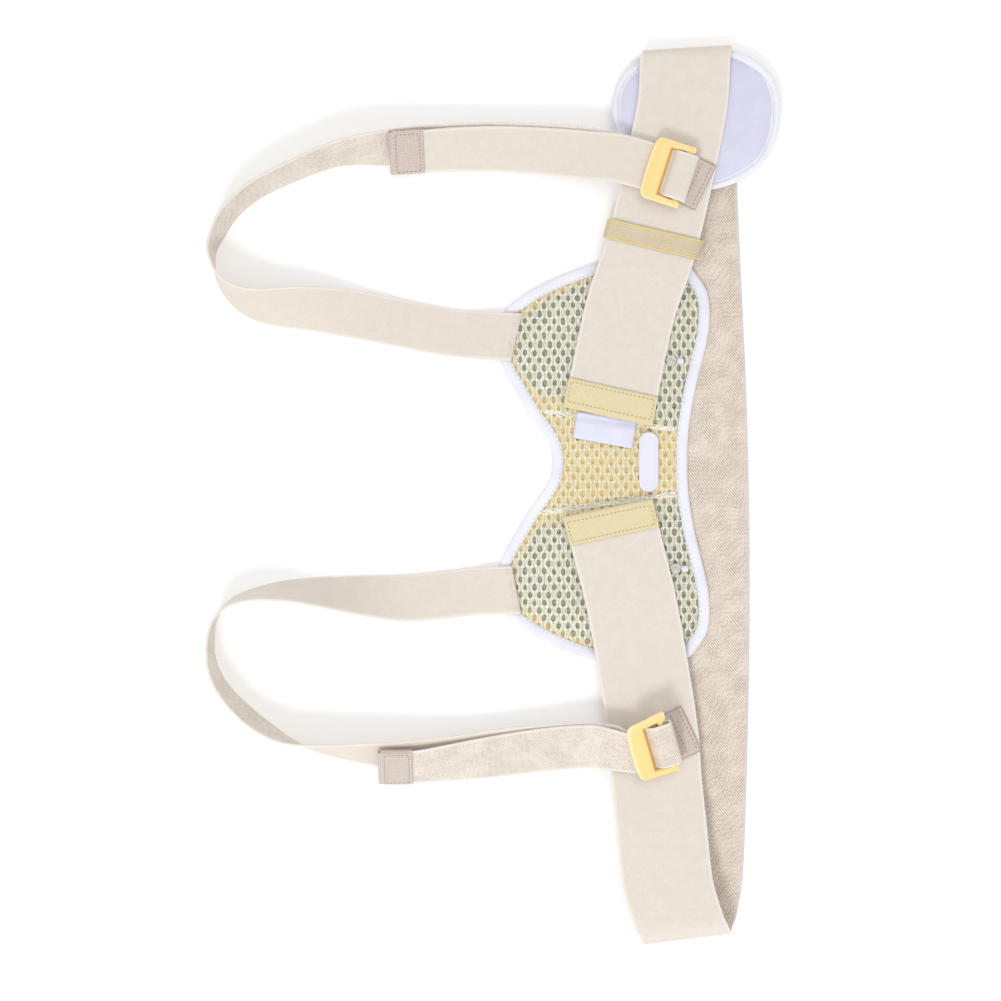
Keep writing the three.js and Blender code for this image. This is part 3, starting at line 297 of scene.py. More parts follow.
def panel_base(x):
    share = 1 - (BACK_RUN_EDGE - 2 * CLEARANCE - x) / PANEL_DRAPE
    return (BELT_THICKNESS + CLEARANCE) * np.clip(share, 0, 1)


def inwards(points):
    way = unit(np.roll(points, -1, 0) - np.roll(points, 1, 0))
    return np.stack([-way[:, 1], way[:, 0]], 1)


def loop_resample(points, step):
    closed = np.vstack([points, points[:1]])
    at = reach_along(closed)
    where = np.linspace(0, at[-1], int(round(at[-1] / step)), endpoint=False)
    return np.stack([np.interp(where, at, closed[:, k]) for k in (0, 1)], 1)


def smooth_loop(points, rounds):
    for _ in range(rounds):
        points = points / 2 + (np.roll(points, 1, 0) + np.roll(points, -1, 0)) / 4
    return points


def panel_outline(inset):
    rows = np.array(PANEL_OUTLINE, float)
    at = reach_along(rows[:, :2])
    up = curve(rows, at, row_samples(at, 2))
    across = [(1, lerp(up[-1][1], up[-1][2], k / 8)) for k in range(1, 8)]
    runs = ((up, 1, 2), (across[::-1], 1, 1), (up[::-1], 1, 1), (up[1:], -1, 1), (across, -1, 1),
            (up[::-1][:-1], -1, 2))
    points = np.array([(r[column] * PANEL_WIDTH, sign * r[0] * PANEL_LENGTH / 2)
                       for some, sign, column in runs for r in some])
    return points + inwards(points) * inset


def inside_distance(loop, points):
    """Distance of points from a closed loop, positive inside."""
    best = np.full(len(points), 1e9)
    inside = np.zeros(len(points), bool)
    for a, d in zip(loop, np.roll(loop, -1, 0) - loop):
        t = np.clip(((points - a) @ d) / max(d @ d, 1e-12), 0, 1)
        best = np.minimum(best, np.linalg.norm(points - (a + t[:, None] * d), axis=1))
        y0, y1 = a[1], a[1] + d[1]
        crosses = (y0 > points[:, 1]) != (y1 > points[:, 1])
        if crosses.any():
            x = a[0] + (points[:, 1] - y0) / (y1 - y0) * d[0]
            inside ^= crosses & (points[:, 0] < x)
    return np.where(inside, best, -best)


panel_inner = panel_outline(BINDING_WIDTH + CLEARANCE)


def seam_height(x):
    """How far from the panel's middle the seams of the pockets lie at x."""
    return SEAM_Y - SEAM_LEAN * (x - SEAM_X)


def panel_top(points):
    """Height of the panel, which is low at its edge, in the flat middle and at the seams of the pockets."""
    beyond = np.abs(points[:, 1]) - seam_height(points[:, 0])
    pocket = smoothstep((beyond + 1.5) / (POCKET_SLOPE * 0.8))
    full = lerp(MIDDLE_THICKNESS, PANEL_THICKNESS, pocket)
    full = full - SEAM_DEPTH * np.exp(-((beyond / SEAM_SPREAD) ** 2))
    border = smoothstep(inside_distance(panel_inner, points) / POCKET_SLOPE)
    return panel_base(points[:, 0]) + lerp(BINDING_THICKNESS * 0.8, full, border)


# Buckles: u follows the strap from the outer edge of the wide bar, v runs along the bar, w is up

WIDE_BAR_LOW = BUCKLE_TAB_THICKNESS + 2 * STRAP_THICKNESS + 3 * CLEARANCE
WIDE_BAR_HIGH = WIDE_BAR_LOW + WIDE_BAR_THICKNESS
LOWER_LAYER = BUCKLE_TAB_THICKNESS + CLEARANCE + STRAP_THICKNESS / 2
END_BAR_U = ARM_REACH - END_BAR_SETBACK
END_BAR_W = LOWER_LAYER + STRAP_THICKNESS / 2 + CLEARANCE + END_BAR_RADIUS
UPPER_LAYER = END_BAR_W + END_BAR_RADIUS + CLEARANCE + STRAP_THICKNESS / 2
OUT_LAYER = WIDE_BAR_LOW - CLEARANCE - STRAP_THICKNESS / 2
WAY_IN = [(0.1, 0.55), (0.57, 0.8), (1.19, 1), (2.17, 1)]
WAY_OUT = [(1.98, 1), (1.68, 0.97), (1.46, 0.6), (1.3, 0.06), (0.9, 0), (0.4, -0.03), (0, -0.16)]
CURL_STEPS = 8


def buckle_axes(side):
    """The middle of the wide bar's outer edge on the belt, the axes u, v and w, and the belt's height."""
    along, across, yaw, roll = BUCKLES[side][:4]
    y = along * LOOP_LENGTH
    p = front_frames[side][0]
    under = p[np.abs(p[:, 1] - y) < BUCKLE_LENGTH / 2]
    seat = under[:, 2].max() + BELT_THICKNESS / 2 + CLEARANCE
    yaw, roll = math.radians(yaw), math.radians(roll)
    u = np.array([math.cos(yaw), math.sin(yaw), 0])
    flat = np.array([-math.sin(yaw), math.cos(yaw), 0])
    v = flat * math.cos(roll) + UP * math.sin(roll)
    w = -flat * math.sin(roll) + UP * math.cos(roll)
    origin = np.array([across * BELT_WIDTH, y, seat + math.sin(roll) * BUCKLE_LENGTH / 2])
    return origin, u, v, w, seat


def in_buckle(side, points):
    origin, u, v, w, _ = buckle_axes(side)
    return origin + np.asarray(points, float) @ np.array([u, v, w])


# Leg straps


def resting_height(roll):
    turn = np.radians(roll)
    return np.abs(np.sin(turn)) * STRAP_WIDTH / 2 + np.abs(np.cos(turn)) * STRAP_THICKNESS / 2


def leg_loop(side):
    corner_along, corner_across, way = CORNERS[side]
    origin, _, _, _, seat = buckle_axes(side)
    corner_x = corner_across * PANEL_WIDTH
    corner_y = way * corner_along * PANEL_LENGTH / 2
    far_x = corner_x - STRAP_REACH
    perched = BINDING_THICKNESS + 3 * CLEARANCE
    rows = [(corner_x - reach * STRAP_REACH, span, resting_height(roll) + perch * perched, roll)
            for reach, span, roll, perch in OUT[side]]
    rows += [(lerp(far_x, origin[0], run), span, resting_height(roll) + hold * seat, roll)
             for run, span, roll, hold in BACK[side]]
    rows = np.array(rows)
    rows[:, 1] = lerp(corner_y, origin[1], rows[:, 1])
    at = reach_along(rows[:, :3])
    made = curve(rows, at, row_samples(at))
    heading = np.zeros((len(made), 3))
    heading[:, :2] = np.vstack([made[1:, :2], made[-1:, :2]]) - np.vstack([made[:1, :2], made[:-1, :2]])
    heading = unit(heading)
    outward = np.stack([-heading[:, 1], heading[:, 0], 0 * heading[:, 0]], 1) * way
    turn = np.radians(made[:, 3])[:, None]
    made[:, 2] = np.maximum(made[:, 2], resting_height(made[:, 3]))
    return made[:, :3], outward * np.cos(turn) - UP * np.sin(turn)


def through_buckle(side):
    radius, level = (UPPER_LAYER - LOWER_LAYER) / 2, (UPPER_LAYER + LOWER_LAYER) / 2
    curl_u = END_BAR_U + END_BAR_RADIUS + CURL_SLACK
    angle = math.pi * np.arange(CURL_STEPS + 1) / CURL_STEPS
    path = [(bar * WIDE_BAR, 0, layer * LOWER_LAYER) for bar, layer in WAY_IN]
    path += [(curl_u + radius * math.sin(t), 0, level - radius * math.cos(t)) for t in angle]
    path += [(bar * WIDE_BAR, 0, lerp(OUT_LAYER, UPPER_LAYER, rise)) for bar, rise in WAY_OUT]
    return in_buckle(side, path), np.tile(-buckle_axes(side)[2], (len(path), 1))


def free_end(side, p, w):
    """The free end of a strap, which lies over the loop with the points p and vectors w."""
    rows = np.array(FREE[side])
    n = normals(p, w)
    far_x = CORNERS[side][1] * PANEL_WIDTH - STRAP_REACH
    near_x = buckle_axes(side)[0][0]
    at = np.abs(rows[:, 0] - rows[0, 0])
    tab_x = lerp(far_x, near_x, rows[-1, 0]) + STRAP_TAB_LENGTH + STRAP_TAB_MARGIN

    def under(x):
        i = len(p) - 2
        while i > 0 and p[i][0] > x:
            i -= 1
        share = (x - p[i][0]) / (p[i + 1][0] - p[i][0])
        place, across, normal = (lerp(a[i], a[i + 1], share) for a in (p, w, n))
        return place, unit(across), unit(normal) * np.sign(normal[2])

    points, leans = [], []
    for run, away, slide in curve(rows, at, row_samples(at)):
        x = lerp(far_x, near_x, run)
        _, lean, up = under(max(x, tab_x))
        off = STRAP_THICKNESS + CLEARANCE + away * STRAP_WIDTH
        points.append(under(x)[0] + up * off + lean * slide * STRAP_WIDTH)
        leans.append(lean)
    return np.array(points), np.array(leans)


def strap_path(side):
    loop = leg_loop(side)
    parts = [loop, through_buckle(side), free_end(side, *loop)]
    return np.vstack([a for a, _ in parts]), np.vstack([b for _, b in parts])


# Compression pad


def pad_outline(inset, steps=4):
    middle = np.array([PAD_PLACE[1] * BELT_WIDTH, PAD_PLACE[0] * LOOP_LENGTH])
    count = len(PAD_OUTLINE)
    points = []
    for i in range(count):
        a, b, c, d = (PAD_OUTLINE[(i + k) % count] for k in (-1, 0, 1, 2))
        for t in np.arange(steps) / steps:
            twice = 2 * b + (c - a) * t + (2 * a - 5 * b + 4 * c - d) * t**2 + (3 * b - a - 3 * c + d) * t**3
            angle = (i + t) * 2 * math.pi / count
            points.append(middle + twice / 2 * PAD_LENGTH * np.array([math.cos(angle), math.sin(angle)]))
    points = np.array(points)
    return points + inwards(points) * inset


PAD_FLOOR = BELT_THICKNESS + CLEARANCE
PAD_MIDDLE = PAD_FLOOR + PAD_THICKNESS / 2

# The part's origin lies under the middle of the whole belt: the plate says how far it was moved.
plate_low, plate_high = (np.array(corner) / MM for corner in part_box("oblong_plate"))
plate_x = PLATE_PLACE[0] * PANEL_WIDTH
plate_z = float(panel_base(plate_x + PLATE_WIDTH / 2)) + MIDDLE_THICKNESS + CLEARANCE
SHIFT = np.array([*(plate_low + plate_high)[:2] / 2, plate_low[2]]) - (plate_x, 0, plate_z)

# Meshes


def fields(size, amount, seed, x, y=0, z=0):
    """Smooth irregularity over places: a few crossed waves of about this size in millimetres."""
    rng = np.random.default_rng(seed)
    points = np.stack(np.broadcast_arrays(x, y, z), -1).astype(float)
    total = np.zeros(len(points))
    for _ in range(5):
        way = unit(rng.normal(size=3)) * 2 * math.pi / (size * rng.uniform(0.7, 1.6))
        total += np.sin(points @ way + rng.uniform(0, 2 * math.pi))
    return total * amount / 5


def link(name, data):
    obj = bpy.data.objects.new(name, data)
    bpy.context.scene.collection.objects.link(obj)
    return obj


def add_mesh(name, shape, materials, slot, node=None, index=None, uv=None, **values):
    """A mesh of (vertices, faces) that rides on the root and stands for a node of the part, if one is given.

    Each of the values becomes an attribute of its points.
    """
    verts, faces = np.asarray(shape[0], float), shape[1]
    mesh = bpy.data.meshes.new(name)
    mesh.from_pydata(((verts + SHIFT) * MM).tolist(), [], [tuple(map(int, f)) for f in faces])
    for material in materials:
        mesh.materials.append(material)
    if index is not None:
        mesh.polygons.foreach_set("material_index", np.asarray(index, np.int32))
    mesh.polygons.foreach_set("use_smooth", np.ones(len(mesh.polygons), bool))
    corners = np.zeros(len(mesh.loops), np.int32)
    mesh.loops.foreach_get("vertex_index", corners)
    uv = np.asarray(verts[:, :2] if uv is None else uv, np.float32)
    mesh.uv_layers.new(name="cloth").data.foreach_set("uv", uv[corners].ravel())
    for key, value in values.items():
        attribute = mesh.attributes.new(key, "FLOAT", "POINT")
        attribute.data.foreach_set("value", np.asarray(value, np.float32))
    mesh.update()
    obj = link(name, mesh)
    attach(obj, "root")
    if node:
        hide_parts(node)
    return obj


def sweep(rings, closed=False):
    """Vertices and faces of rings of points in order. Open sweeps get end caps."""
    total, count = len(rings), len(rings[0])
    faces = []
    for i in range(total if closed else total - 1):
        a, b = i * count, (i + 1) % total * count
        for k in range(count):
            m = (k + 1) % count
            faces.append((a + k, a + m, b + m, b + k))
    if not closed:
        faces += [tuple(range(count))[::-1], tuple(range((total - 1) * count, total * count))]
    return np.concatenate(rings), faces


def strip_section(width, thickness, columns, edge=0.8):
    """Points (a, b) round a strip's rounded section, from its one edge over the top and back."""
    half = width / 2
    rim = [(half - edge * (1 - math.cos(t)), math.sin(t)) for t in np.radians([0, 30, 60, 90])]
    inner = [(a, 1.0) for a in np.linspace(half - edge, edge - half, columns)[1:-1]]
    top = rim + inner + [(-a, b) for a, b in rim[::-1]]
    under = [(a, -b) for a, b in top[-2:0:-1]]
    return np.array(top + under) * (1, thickness / 2), len(top)


SLANT_REACH = 14


def strip(name, p, w, width, thickness, materials, slot, node, columns=12, closed=False, seed=1,
          wobble=0.15, relief=None, step=2.0, slant=0.0, ahead=0.0):
    """A strip of cloth along a path, with rounded and slightly uneven edges.

    Its first end may be cut at a slant, with the middle that far ahead of the path's start.
    """
    q, v = resample(p, w, step, closed)
    n = normals(q, v, closed)
    section, top = strip_section(width, thickness, columns)
    count = len(section)
    at = np.arange(len(q)) * step
    left, right = (np.abs(fields(size, wobble, seed + more, at))[:, None] for size, more in ((9, 0), (7, 50)))
    share = section[:, 0] / (width / 2)
    a, b = (section[:, k] * np.ones((len(q), 1)) for k in (0, 1))
    a = a - np.maximum(share, 0) ** 4 * left - np.minimum(share, 0) ** 3 * right
    if relief is not None:
        b = relief(a, b, at[:, None])
    rings = q[:, None] + v[:, None] * a[..., None] + n[:, None] * b[..., None]
    if slant or ahead:
        fade = np.clip(1 - at[:, None] / SLANT_REACH, 0, 1)
        rings = rings + unit(q[1] - q[0]) * ((slant * a / (width / 2) - ahead) * fade)[..., None]
    verts, faces = sweep(rings, closed)
    under = [len(f) == 4 and f[0] % count >= top - 1 for f in faces] if len(materials) > 1 else None
    uv = np.stack([a, np.repeat(at[:, None], count, 1)], -1).reshape(-1, 2)
    return add_mesh(name, (verts, faces), materials, slot, node, under, uv)


def tube_rings(p, radius, sides=6, closed=False, up=UP):
    """Rings of a round thread along points."""
    t = ways(p, closed)
    a = unit(np.cross(t, up))[:, None]
    b = np.cross(t, a[:, 0])[:, None]
    angle = np.arange(sides)[:, None] * 2 * math.pi / sides
    return p[:, None] + radius * (np.cos(angle) * a + np.sin(angle) * b)


def tube(p, radius, sides=6, closed=False, up=UP):
    return sweep(tube_rings(p, radius, sides, closed, up), closed)


def join(parts):
    verts, faces, base = [], [], 0
    for v, f in parts:
        verts.append(v)
        faces += [tuple(base + k for k in face) for face in f]
        base += len(v)
    return np.concatenate(verts), faces


STITCH_SHARE, STITCH_RISE, STITCH_SIZE = np.array(
    [(0.0, -0.5, 0.5), (0.12, 0.35, 0.95), (0.5, 0.7, 1.1), (0.88, 0.35, 0.95), (1.0, -0.5, 0.5)]
).T[:, :, None]


def stitches(name, paths, material, slot, length, gap, radius):
    """Rows of sewn stitches as one mesh. Each path is (points, the way up, closed)."""
    rng = np.random.default_rng(3)
    angle = np.arange(5)[:, None] * 2 * math.pi / 5
    parts = []
    for points, up, closed in paths:
        q, n = resample(points, np.broadcast_to(up, points.shape), length + gap, closed)
        for a, b, up in zip(q, np.roll(q, -1, 0) if closed else q[1:], n):
            way = unit(b - a)
            lean = np.cross(up, way) * rng.uniform(-0.16, 0.16)
            line = a + way * gap / 2 + (way + lean) * STITCH_SHARE * length + up * STITCH_RISE * radius
            ring = np.cos(angle) * unit(np.cross(way, up)) + np.sin(angle) * up
            parts.append(sweep(line[:, None] + radius * STITCH_SIZE[:, None] * ring))
    add_mesh(name, join(parts), [material], slot)


# Materials


def srgb(text):
    values = [int(text[i : i + 2], 16) / 255 for i in (0, 2, 4)]
    return [v / 12.92 if v <= 0.04045 else ((v + 0.055) / 1.055) ** 2.4 for v in values] + [1.0]


class Finish:
    """A material under construction. Colours may be given as hexadecimal text."""

    def __init__(self, name, roughness=0.9, sheen=0.0, specular=0.25, **uniform):
        self.material = bpy.data.materials.new(name)
        self.material.use_nodes = True
        self.tree = self.material.node_tree
        self.tree.nodes.clear()
        out = self.node("OutputMaterial")
        uniform.update(Roughness=roughness, Sheen_Weight=sheen, Specular_IOR_Level=specular)
        self.shader = self.node("BsdfPrincipled", **uniform)
        self.put(out.inputs[0], self.shader.outputs[0])

    def put(self, target, value):
        if isinstance(value, bpy.types.NodeSocket):
            self.tree.links.new(value, target)
        else:
            target.default_value = srgb(value) if isinstance(value, str) else value

    def node(self, kind, **inputs):
        """A node with its settings, in small letters, and its inputs, which start with a capital."""
        made = self.tree.nodes.new("ShaderNode" + kind)
        for key, value in inputs.items():
            if key[0].islower():
                setattr(made, key, value)
            else:
                self.put(made.inputs[key.replace("_", " ")], value)
        return made

    def math(self, op, a, b=0.0):
        made = self.node("Math", operation=op)
        self.put(made.inputs[0], a)
        self.put(made.inputs[1], b)
        return made.outputs[0]

    def add(self, a, b):
        return self.math("ADD", a, b)

    def mul(self, a, b):
        return self.math("MULTIPLY", a, b)

    def cloth_uv(self):
        uv = self.node("UVMap", uv_map="cloth").outputs[0]
        return self.node("SeparateXYZ", Vector=uv).outputs[:2]

    def noise(self, size, detail=2.0):
        """Noise from 0 to 1 with features of about this size in millimetres."""
        place = self.node("VectorMath", operation="SCALE", Scale=1 / MM)
        self.put(place.inputs[0], self.node("TexCoord").outputs["Object"])
        return self.node("TexNoise", Vector=place.outputs[0], Scale=1 / size, Detail=detail).outputs["Fac"]

    def spread(self, value, low, high, to_low=0.0, to_high=1.0):
        made = self.node("MapRange", interpolation_type="SMOOTHSTEP", Value=value, From_Min=low,
                         From_Max=high, To_Min=to_low, To_Max=to_high)
        return made.outputs["Result"]

    def wave(self, value, pitch):
        """A wave from 0 to 1 that repeats every pitch millimetres of value."""
        return self.add(self.mul(self.math("SINE", self.mul(value, 2 * math.pi / pitch)), 0.5), 0.5)

    def mix(self, share, a, b):
        made = self.node("Mix", data_type="RGBA")
        for socket, value in ((0, share), (6, a), (7, b)):
            self.put(made.inputs[socket], value)
        return made.outputs[2]

    def done(self, colour, height=None, depth=0.0):
        """Set the colour, and the relief where a height is given with its depth in millimetres."""
        self.put(self.shader.inputs["Base Color"], colour)
        if height is not None:
            bump = self.node("Bump", Height=height, Distance=depth * MM, Strength=1.0)
            self.put(self.shader.inputs["Normal"], bump.outputs[0])
        return self.material


TWILL_PITCH = 1.45


def diagonal(f, u, v, angle, dash):
    """The ribs of a twill: slanted ridges, each broken into dashes that start anywhere."""
    c, s = math.cos(math.radians(angle)), math.sin(math.radians(angle))
    across = f.add(f.add(f.mul(u, c), f.mul(v, s)), f.mul(f.noise(5, 2), 1.1))
    along = f.math("SUBTRACT", f.mul(u, s), f.mul(v, c))
    row = f.math("FLOOR", f.math("DIVIDE", across, TWILL_PITCH))
    start = f.node("TexWhiteNoise", noise_dimensions="1D", W=row).outputs["Value"]
    beads = f.wave(f.add(along, f.mul(start, dash)), dash)
    broken = f.mul(f.wave(across, TWILL_PITCH), f.add(0.3, f.mul(beads, 0.7)))
    strength = f.spread(f.noise(12, 2), 0.35, 0.65, 0.55, 1.0)
    return f.add(f.mul(f.math("SUBTRACT", broken, 0.4), strength), 0.4)


def cloth_finish(name, light, dark, edge, width, twill=0, angle=-38.0):
    """Woven elastic with a paler close selvedge: plain, or twill with dashes of the length twill."""
    f = Finish(name, 0.92, 0.15)
    u, v = f.cloth_uv()
    if twill:
        weave, depth, low, high = diagonal(f, u, v, angle, twill), 0.3, 0.05, 0.85
    else:
        warp = f.mul(f.wave(u, 1.3), f.spread(f.noise(6, 1), 0.3, 0.7, 0.03, 0.2))
        weave, depth, low, high = f.add(f.mul(f.noise(0.55, 1), 0.55), warp), 0.1, 0.3, 0.85
    height = f.add(weave, f.mul(f.noise(0.9, 2), 0.5))
    rim = f.spread(f.math("ABSOLUTE", u), width / 2 - 2.4, width / 2 - 1.0)
    # Painted shade: the colour follows the weave's height, darker in the low gaps between its ribs and
    # dashes.
    shade = f.mix(f.spread(height, low, high), dark, light)
    mottled = f.mix(f.spread(f.noise(11, 3), 0.35, 0.75, 0.0, 0.22), shade, dark)
    return f.done(f.mix(f.mul(rim, 0.75), mottled, edge), height, depth)


def smooth_cloth(name, light, dark, size=0.5, depth=0.05, mottle_size=9.0, roughness=0.85):
    """Close cloth without a direction: satin binding, brushed cover, thread."""
    f = Finish(name, roughness, 0.1)
    grain = f.noise(size, 3)
    share = f.add(f.mul(grain, 0.55), f.mul(f.noise(mottle_size, 3), 0.45))
    return f.done(f.mix(f.spread(share, 0.36, 0.62), dark, light), grain, depth)


def hook_tape(name, light, dark):
    """Hook tape: rows of tiny hooks seen as a dense grid of specks."""
    f = Finish(name, 0.8, 0.1)
    u, v = f.cloth_uv()
    share = f.add(f.mul(f.mul(f.wave(u, 1.2), f.wave(v, 1.2)), 0.35), f.mul(f.noise(0.8, 3), 0.8))
    return f.done(f.mix(f.spread(share, 0.25, 0.75), dark, light), share, 0.2)


def plastic(name, colour, roughness, coat=0.0, subsurface=0.0):
    f = Finish(name, roughness, specular=0.5, Coat_Weight=coat, Coat_Roughness=0.12,
               Subsurface_Weight=subsurface, Subsurface_Radius=(0.004, 0.003, 0.0015), Subsurface_Scale=1.0)
    return f.done(colour, f.noise(2.5, 1), 0.02)


def thread(name, colour):
    return smooth_cloth(name, colour, colour)


belt_plain = cloth_finish("belt_plain", "E7DFD6", "DCD2C7", "EEE8E1", BELT_WIDTH)
belt_twill = cloth_finish("belt_twill", "F3E8DD", "AF9B89", "DAD4D2", BELT_WIDTH, 3.8)
strap_plain = cloth_finish("strap_plain", "E7DED4", "DCD1C5", "EEE7DF", STRAP_WIDTH)
strap_twill = cloth_finish("strap_twill", "F0E8DE", "C3B5A5", "F1E9E1", STRAP_WIDTH, 6.0, -43.0)
yellow_tape = hook_tape("yellow_tape", "EBDEBB", "DACB9F")
grey_tape = hook_tape("grey_tape", "DCD0C9", "BFB1A8")
keeper_cloth = smooth_cloth("keeper_cloth", "D8CAB2", "BEAF96", 0.5, 0.12, 60.0)
keeper_yellow = thread("keeper_yellow", "F8DF8E")
satin = smooth_cloth("satin", "F0F0F7", "E4E4EE", 0.5, 0.03, 22.0, 0.5)
label_cloth = smooth_cloth("label_cloth", "E9E9FB", "DEDFF6", 0.5, 0.03, 20.0, 0.45)
lavender = smooth_cloth("lavender", "DBD9EC", "D2D0E5", 0.6, 0.05, 16.0)
pale_thread = thread("pale_thread", "D3D3E0")
ochre_thread = thread("ochre_thread", "BFA25C")
grey_thread = thread("grey_thread", "A08F88")
white_thread = thread("white_thread", "FBFAF1")
cream_thread = thread("cream_thread", "F6F0E8")
# A brown thread round each hook tab: painted shadow along the tab's edge where it lies on the belt.
painted_edge_shadow = thread("painted_edge_shadow", "A18D80")
white_plastic = plastic("white_plastic", "E5E5F2", 0.35, 0.3)
buckle_plastic = plastic("buckle_plastic", "FBDB92", 0.34, 0.4, 0.2)
# A paler yellow for the ring's outer edge: a painted highlight.
buckle_painted_highlight = plastic("buckle_painted_highlight", "FEE9B4", 0.3, 0.5, 0.2)
# An amber for the side of the ring that faces the slot and for the end bar under the strap's curl: painted
# shade.
buckle_painted_shade = plastic("buckle_painted_shade", "F0AE4C", 0.4)

# Waist belt

p, w = belt_path(2.0)
belt = strip("waist_belt_cloth", p, w, BELT_WIDTH, BELT_THICKNESS, [belt_twill, belt_plain],
             "cream_webbing", "waist_belt", columns=16, seed=11)


STITCH_INSET = 2.0


def hem(name, p, w, n, inside, width, length, material, slot, node, thread_material, columns=14):
    """Tape folded over the end of a strip. p, w and n run from the free end inwards."""
    at = reach_along(p)
    where = np.linspace(0, length, int(length / 1.2) + 1)
    q = curve(p, at, where)
    v, m = (unit(curve(rows, at, where)) for rows in (w, n))
    off = inside / 2 + CLEARANCE + FOLD_CLOTH / 2
    way = unit(q[1] - q[0])
    angle = np.linspace(0, math.pi, 9)[1:-1][:, None]
    turn = q[0] + m[0] * off * np.cos(angle) - way * off * np.sin(angle)
    path = np.vstack([(q + m * off)[::-1], turn, q - m * off])
    across = np.vstack([v[::-1], np.tile(v[0], (len(turn), 1)), v])
    strip(name, path, across, width, FOLD_CLOTH, [material], slot, node, columns, step=1.0, wobble=0.1)
    side = math.copysign(1, m[0][2])
    keep = (where > 1.8) & (where < length - 1.6)
    row = (q + m * side * (off + FOLD_CLOTH / 2))[keep]
    aside = v[keep] * (width / 2 - STITCH_INSET)
    over = np.linspace(1, -1, 12)[1:-1, None]
    ends = row[-1] + aside[-1] * over, row[0] - aside[0] * over
    border = np.vstack([row + aside, ends[0], (row - aside)[::-1], ends[1]])
    stitches(name + "_stitches", [(border, m[0] * side, True)], thread_material, slot, 1.5, 1.3, 0.24)


for side in ("upper", "lower"):
    p, w, n = front_frames[side]
    hem(f"belt_tab_{side}_tape", p, w, n, BELT_THICKNESS, BELT_WIDTH + 2 * CLEARANCE, BELT_TAB_LENGTH,
        yellow_tape, "yellow_hook", f"belt_tab_{side}", ochre_thread)

# Elastic keeper

place, across, along = belt_at("upper", KEEPER_ALONG * LOOP_LENGTH)
normal = unit(np.cross(across, along))
off = BELT_THICKNESS / 2 + 2 * CLEARANCE + KEEPER_THICKNESS / 2
angle = np.linspace(0, math.pi, 9)[:, None]
loop = []
for side in (1, -1):
    arc = place + side * (across * (BELT_WIDTH / 2 + off * np.sin(angle)) + normal * off * np.cos(angle))
    back = place - side * (across * BELT_WIDTH / 2 + normal * off)
    loop += [*arc, *(lerp(arc[-1], back, k / 10) for k in range(1, 10))]
loop = np.array(loop)
loop_w = np.tile(along, (len(loop), 1))
RIB_DEPTH, RIB_PITCH = 0.16, 1.25


def ribbed(a, b, at):
    return b * (1 + RIB_DEPTH * np.cos(a * 2 * math.pi / RIB_PITCH))


strip("keeper_band", loop, loop_w, KEEPER_WIDTH, KEEPER_THICKNESS * 0.85, [keeper_cloth], "keeper_elastic",
      "elastic_keeper", columns=52, closed=True, relief=ribbed, wobble=0.1)
q, v = resample(loop, loop_w, 1.5, True)
lift = normals(q, v, True) * KEEPER_THICKNESS * 0.47
# Yellow lines: how far from the keeper's middle, and how thick
KEEPER_LINES = ((-5.9, 0.34), (-4.4, 0.2), (-0.8, 0.08), (0.8, 0.08), (4.4, 0.2), (5.9, 0.34))
lines = [tube(q + v * shift + lift, radius, 6, True, along) for shift, radius in KEEPER_LINES]
add_mesh("keeper_lines", join(lines), [keeper_yellow], "keeper_elastic")

# Mesh panel


def panel_finish(name, low, high, dusk, ring=None):
    """Colours of the panel, each first for the gold middle and then for the green pockets.

    zone tells the two apart, dusk the darker strip beside the belt, and ring the rim of a hole, darkened
    there as painted shade.
    """
    f = Finish(name, 0.85, 0.1)
    zone, dim = (f.node("Attribute", attribute_name=key).outputs["Fac"] for key in ("zone", "dusk"))
    grain = f.noise(0.7, 2)
    tones = [f.mix(zone, *pair) for pair in (low, high, dusk)]
    colour = f.mix(f.mul(dim, 0.22), f.mix(f.spread(grain, 0.3, 0.62), *tones[:2]), tones[2])
    # Painted shade darkens the knit down in its holes.
    if ring:
        near = f.node("Attribute", attribute_name="ring").outputs["Fac"]
        colour = f.mix(near, colour, f.mix(zone, *ring))
    return f.done(colour, grain, 0.2)


backing = panel_finish("panel_backing", ("DCC490", "9C9E88"), ("E7CE9C", "B6B7A2"), ("CDB98A", "8F907B"))
# Its last pair is the painted shade inside the holes, for the gold middle and the green pockets.
knit = panel_finish("panel_knit", ("D8C68F", "B7B593"), ("E4D5A6", "D8D7BB"), ("CDBF94", "A8A788"),
                    ("DCC692", "5F5E49"))
net = panel_finish("panel_net", ("F3EAC9", "F5F5EC"), ("FDF8E4", "FEFDF8"), ("E6DDBB", "DAD9C8"))


def slab(low, high):
    """A closed slab between two grids of points."""
    rows, columns = low.shape[:2]
    count = rows * columns
    at = np.arange(count).reshape(rows, columns)
    a, b, c, d = at[:-1, :-1], at[:-1, 1:], at[1:, 1:], at[1:, :-1]
    over = np.stack([a, b, c, d], -1).reshape(-1, 4) + count
    under = np.stack([a, d, c, b], -1).reshape(-1, 4)
    rim = [*at[0], *at[1:, -1], *at[-1, -2::-1], *at[-2:0:-1, 0]]
    sides = [(i, j, j + count, i + count) for i, j in zip(rim, rim[1:] + rim[:1])]
    return np.vstack([low.reshape(-1, 3), high.reshape(-1, 3)]), [*over, *under, *sides]


def crossing(loop, y):
    a, b = loop, np.roll(loop, -1, 0)
    hits = (a[:, 1] > y) != (b[:, 1] > y)
    x = lerp(a[hits, 0], b[hits, 0], (y - a[hits, 1]) / (b[hits, 1] - a[hits, 1]))
    return x.min(), x.max()


DUSK_START, DUSK_REACH = 20, 14
BACKING_DROP = 1.25
BACKING_ROWS, BACKING_COLUMNS = 97, 35


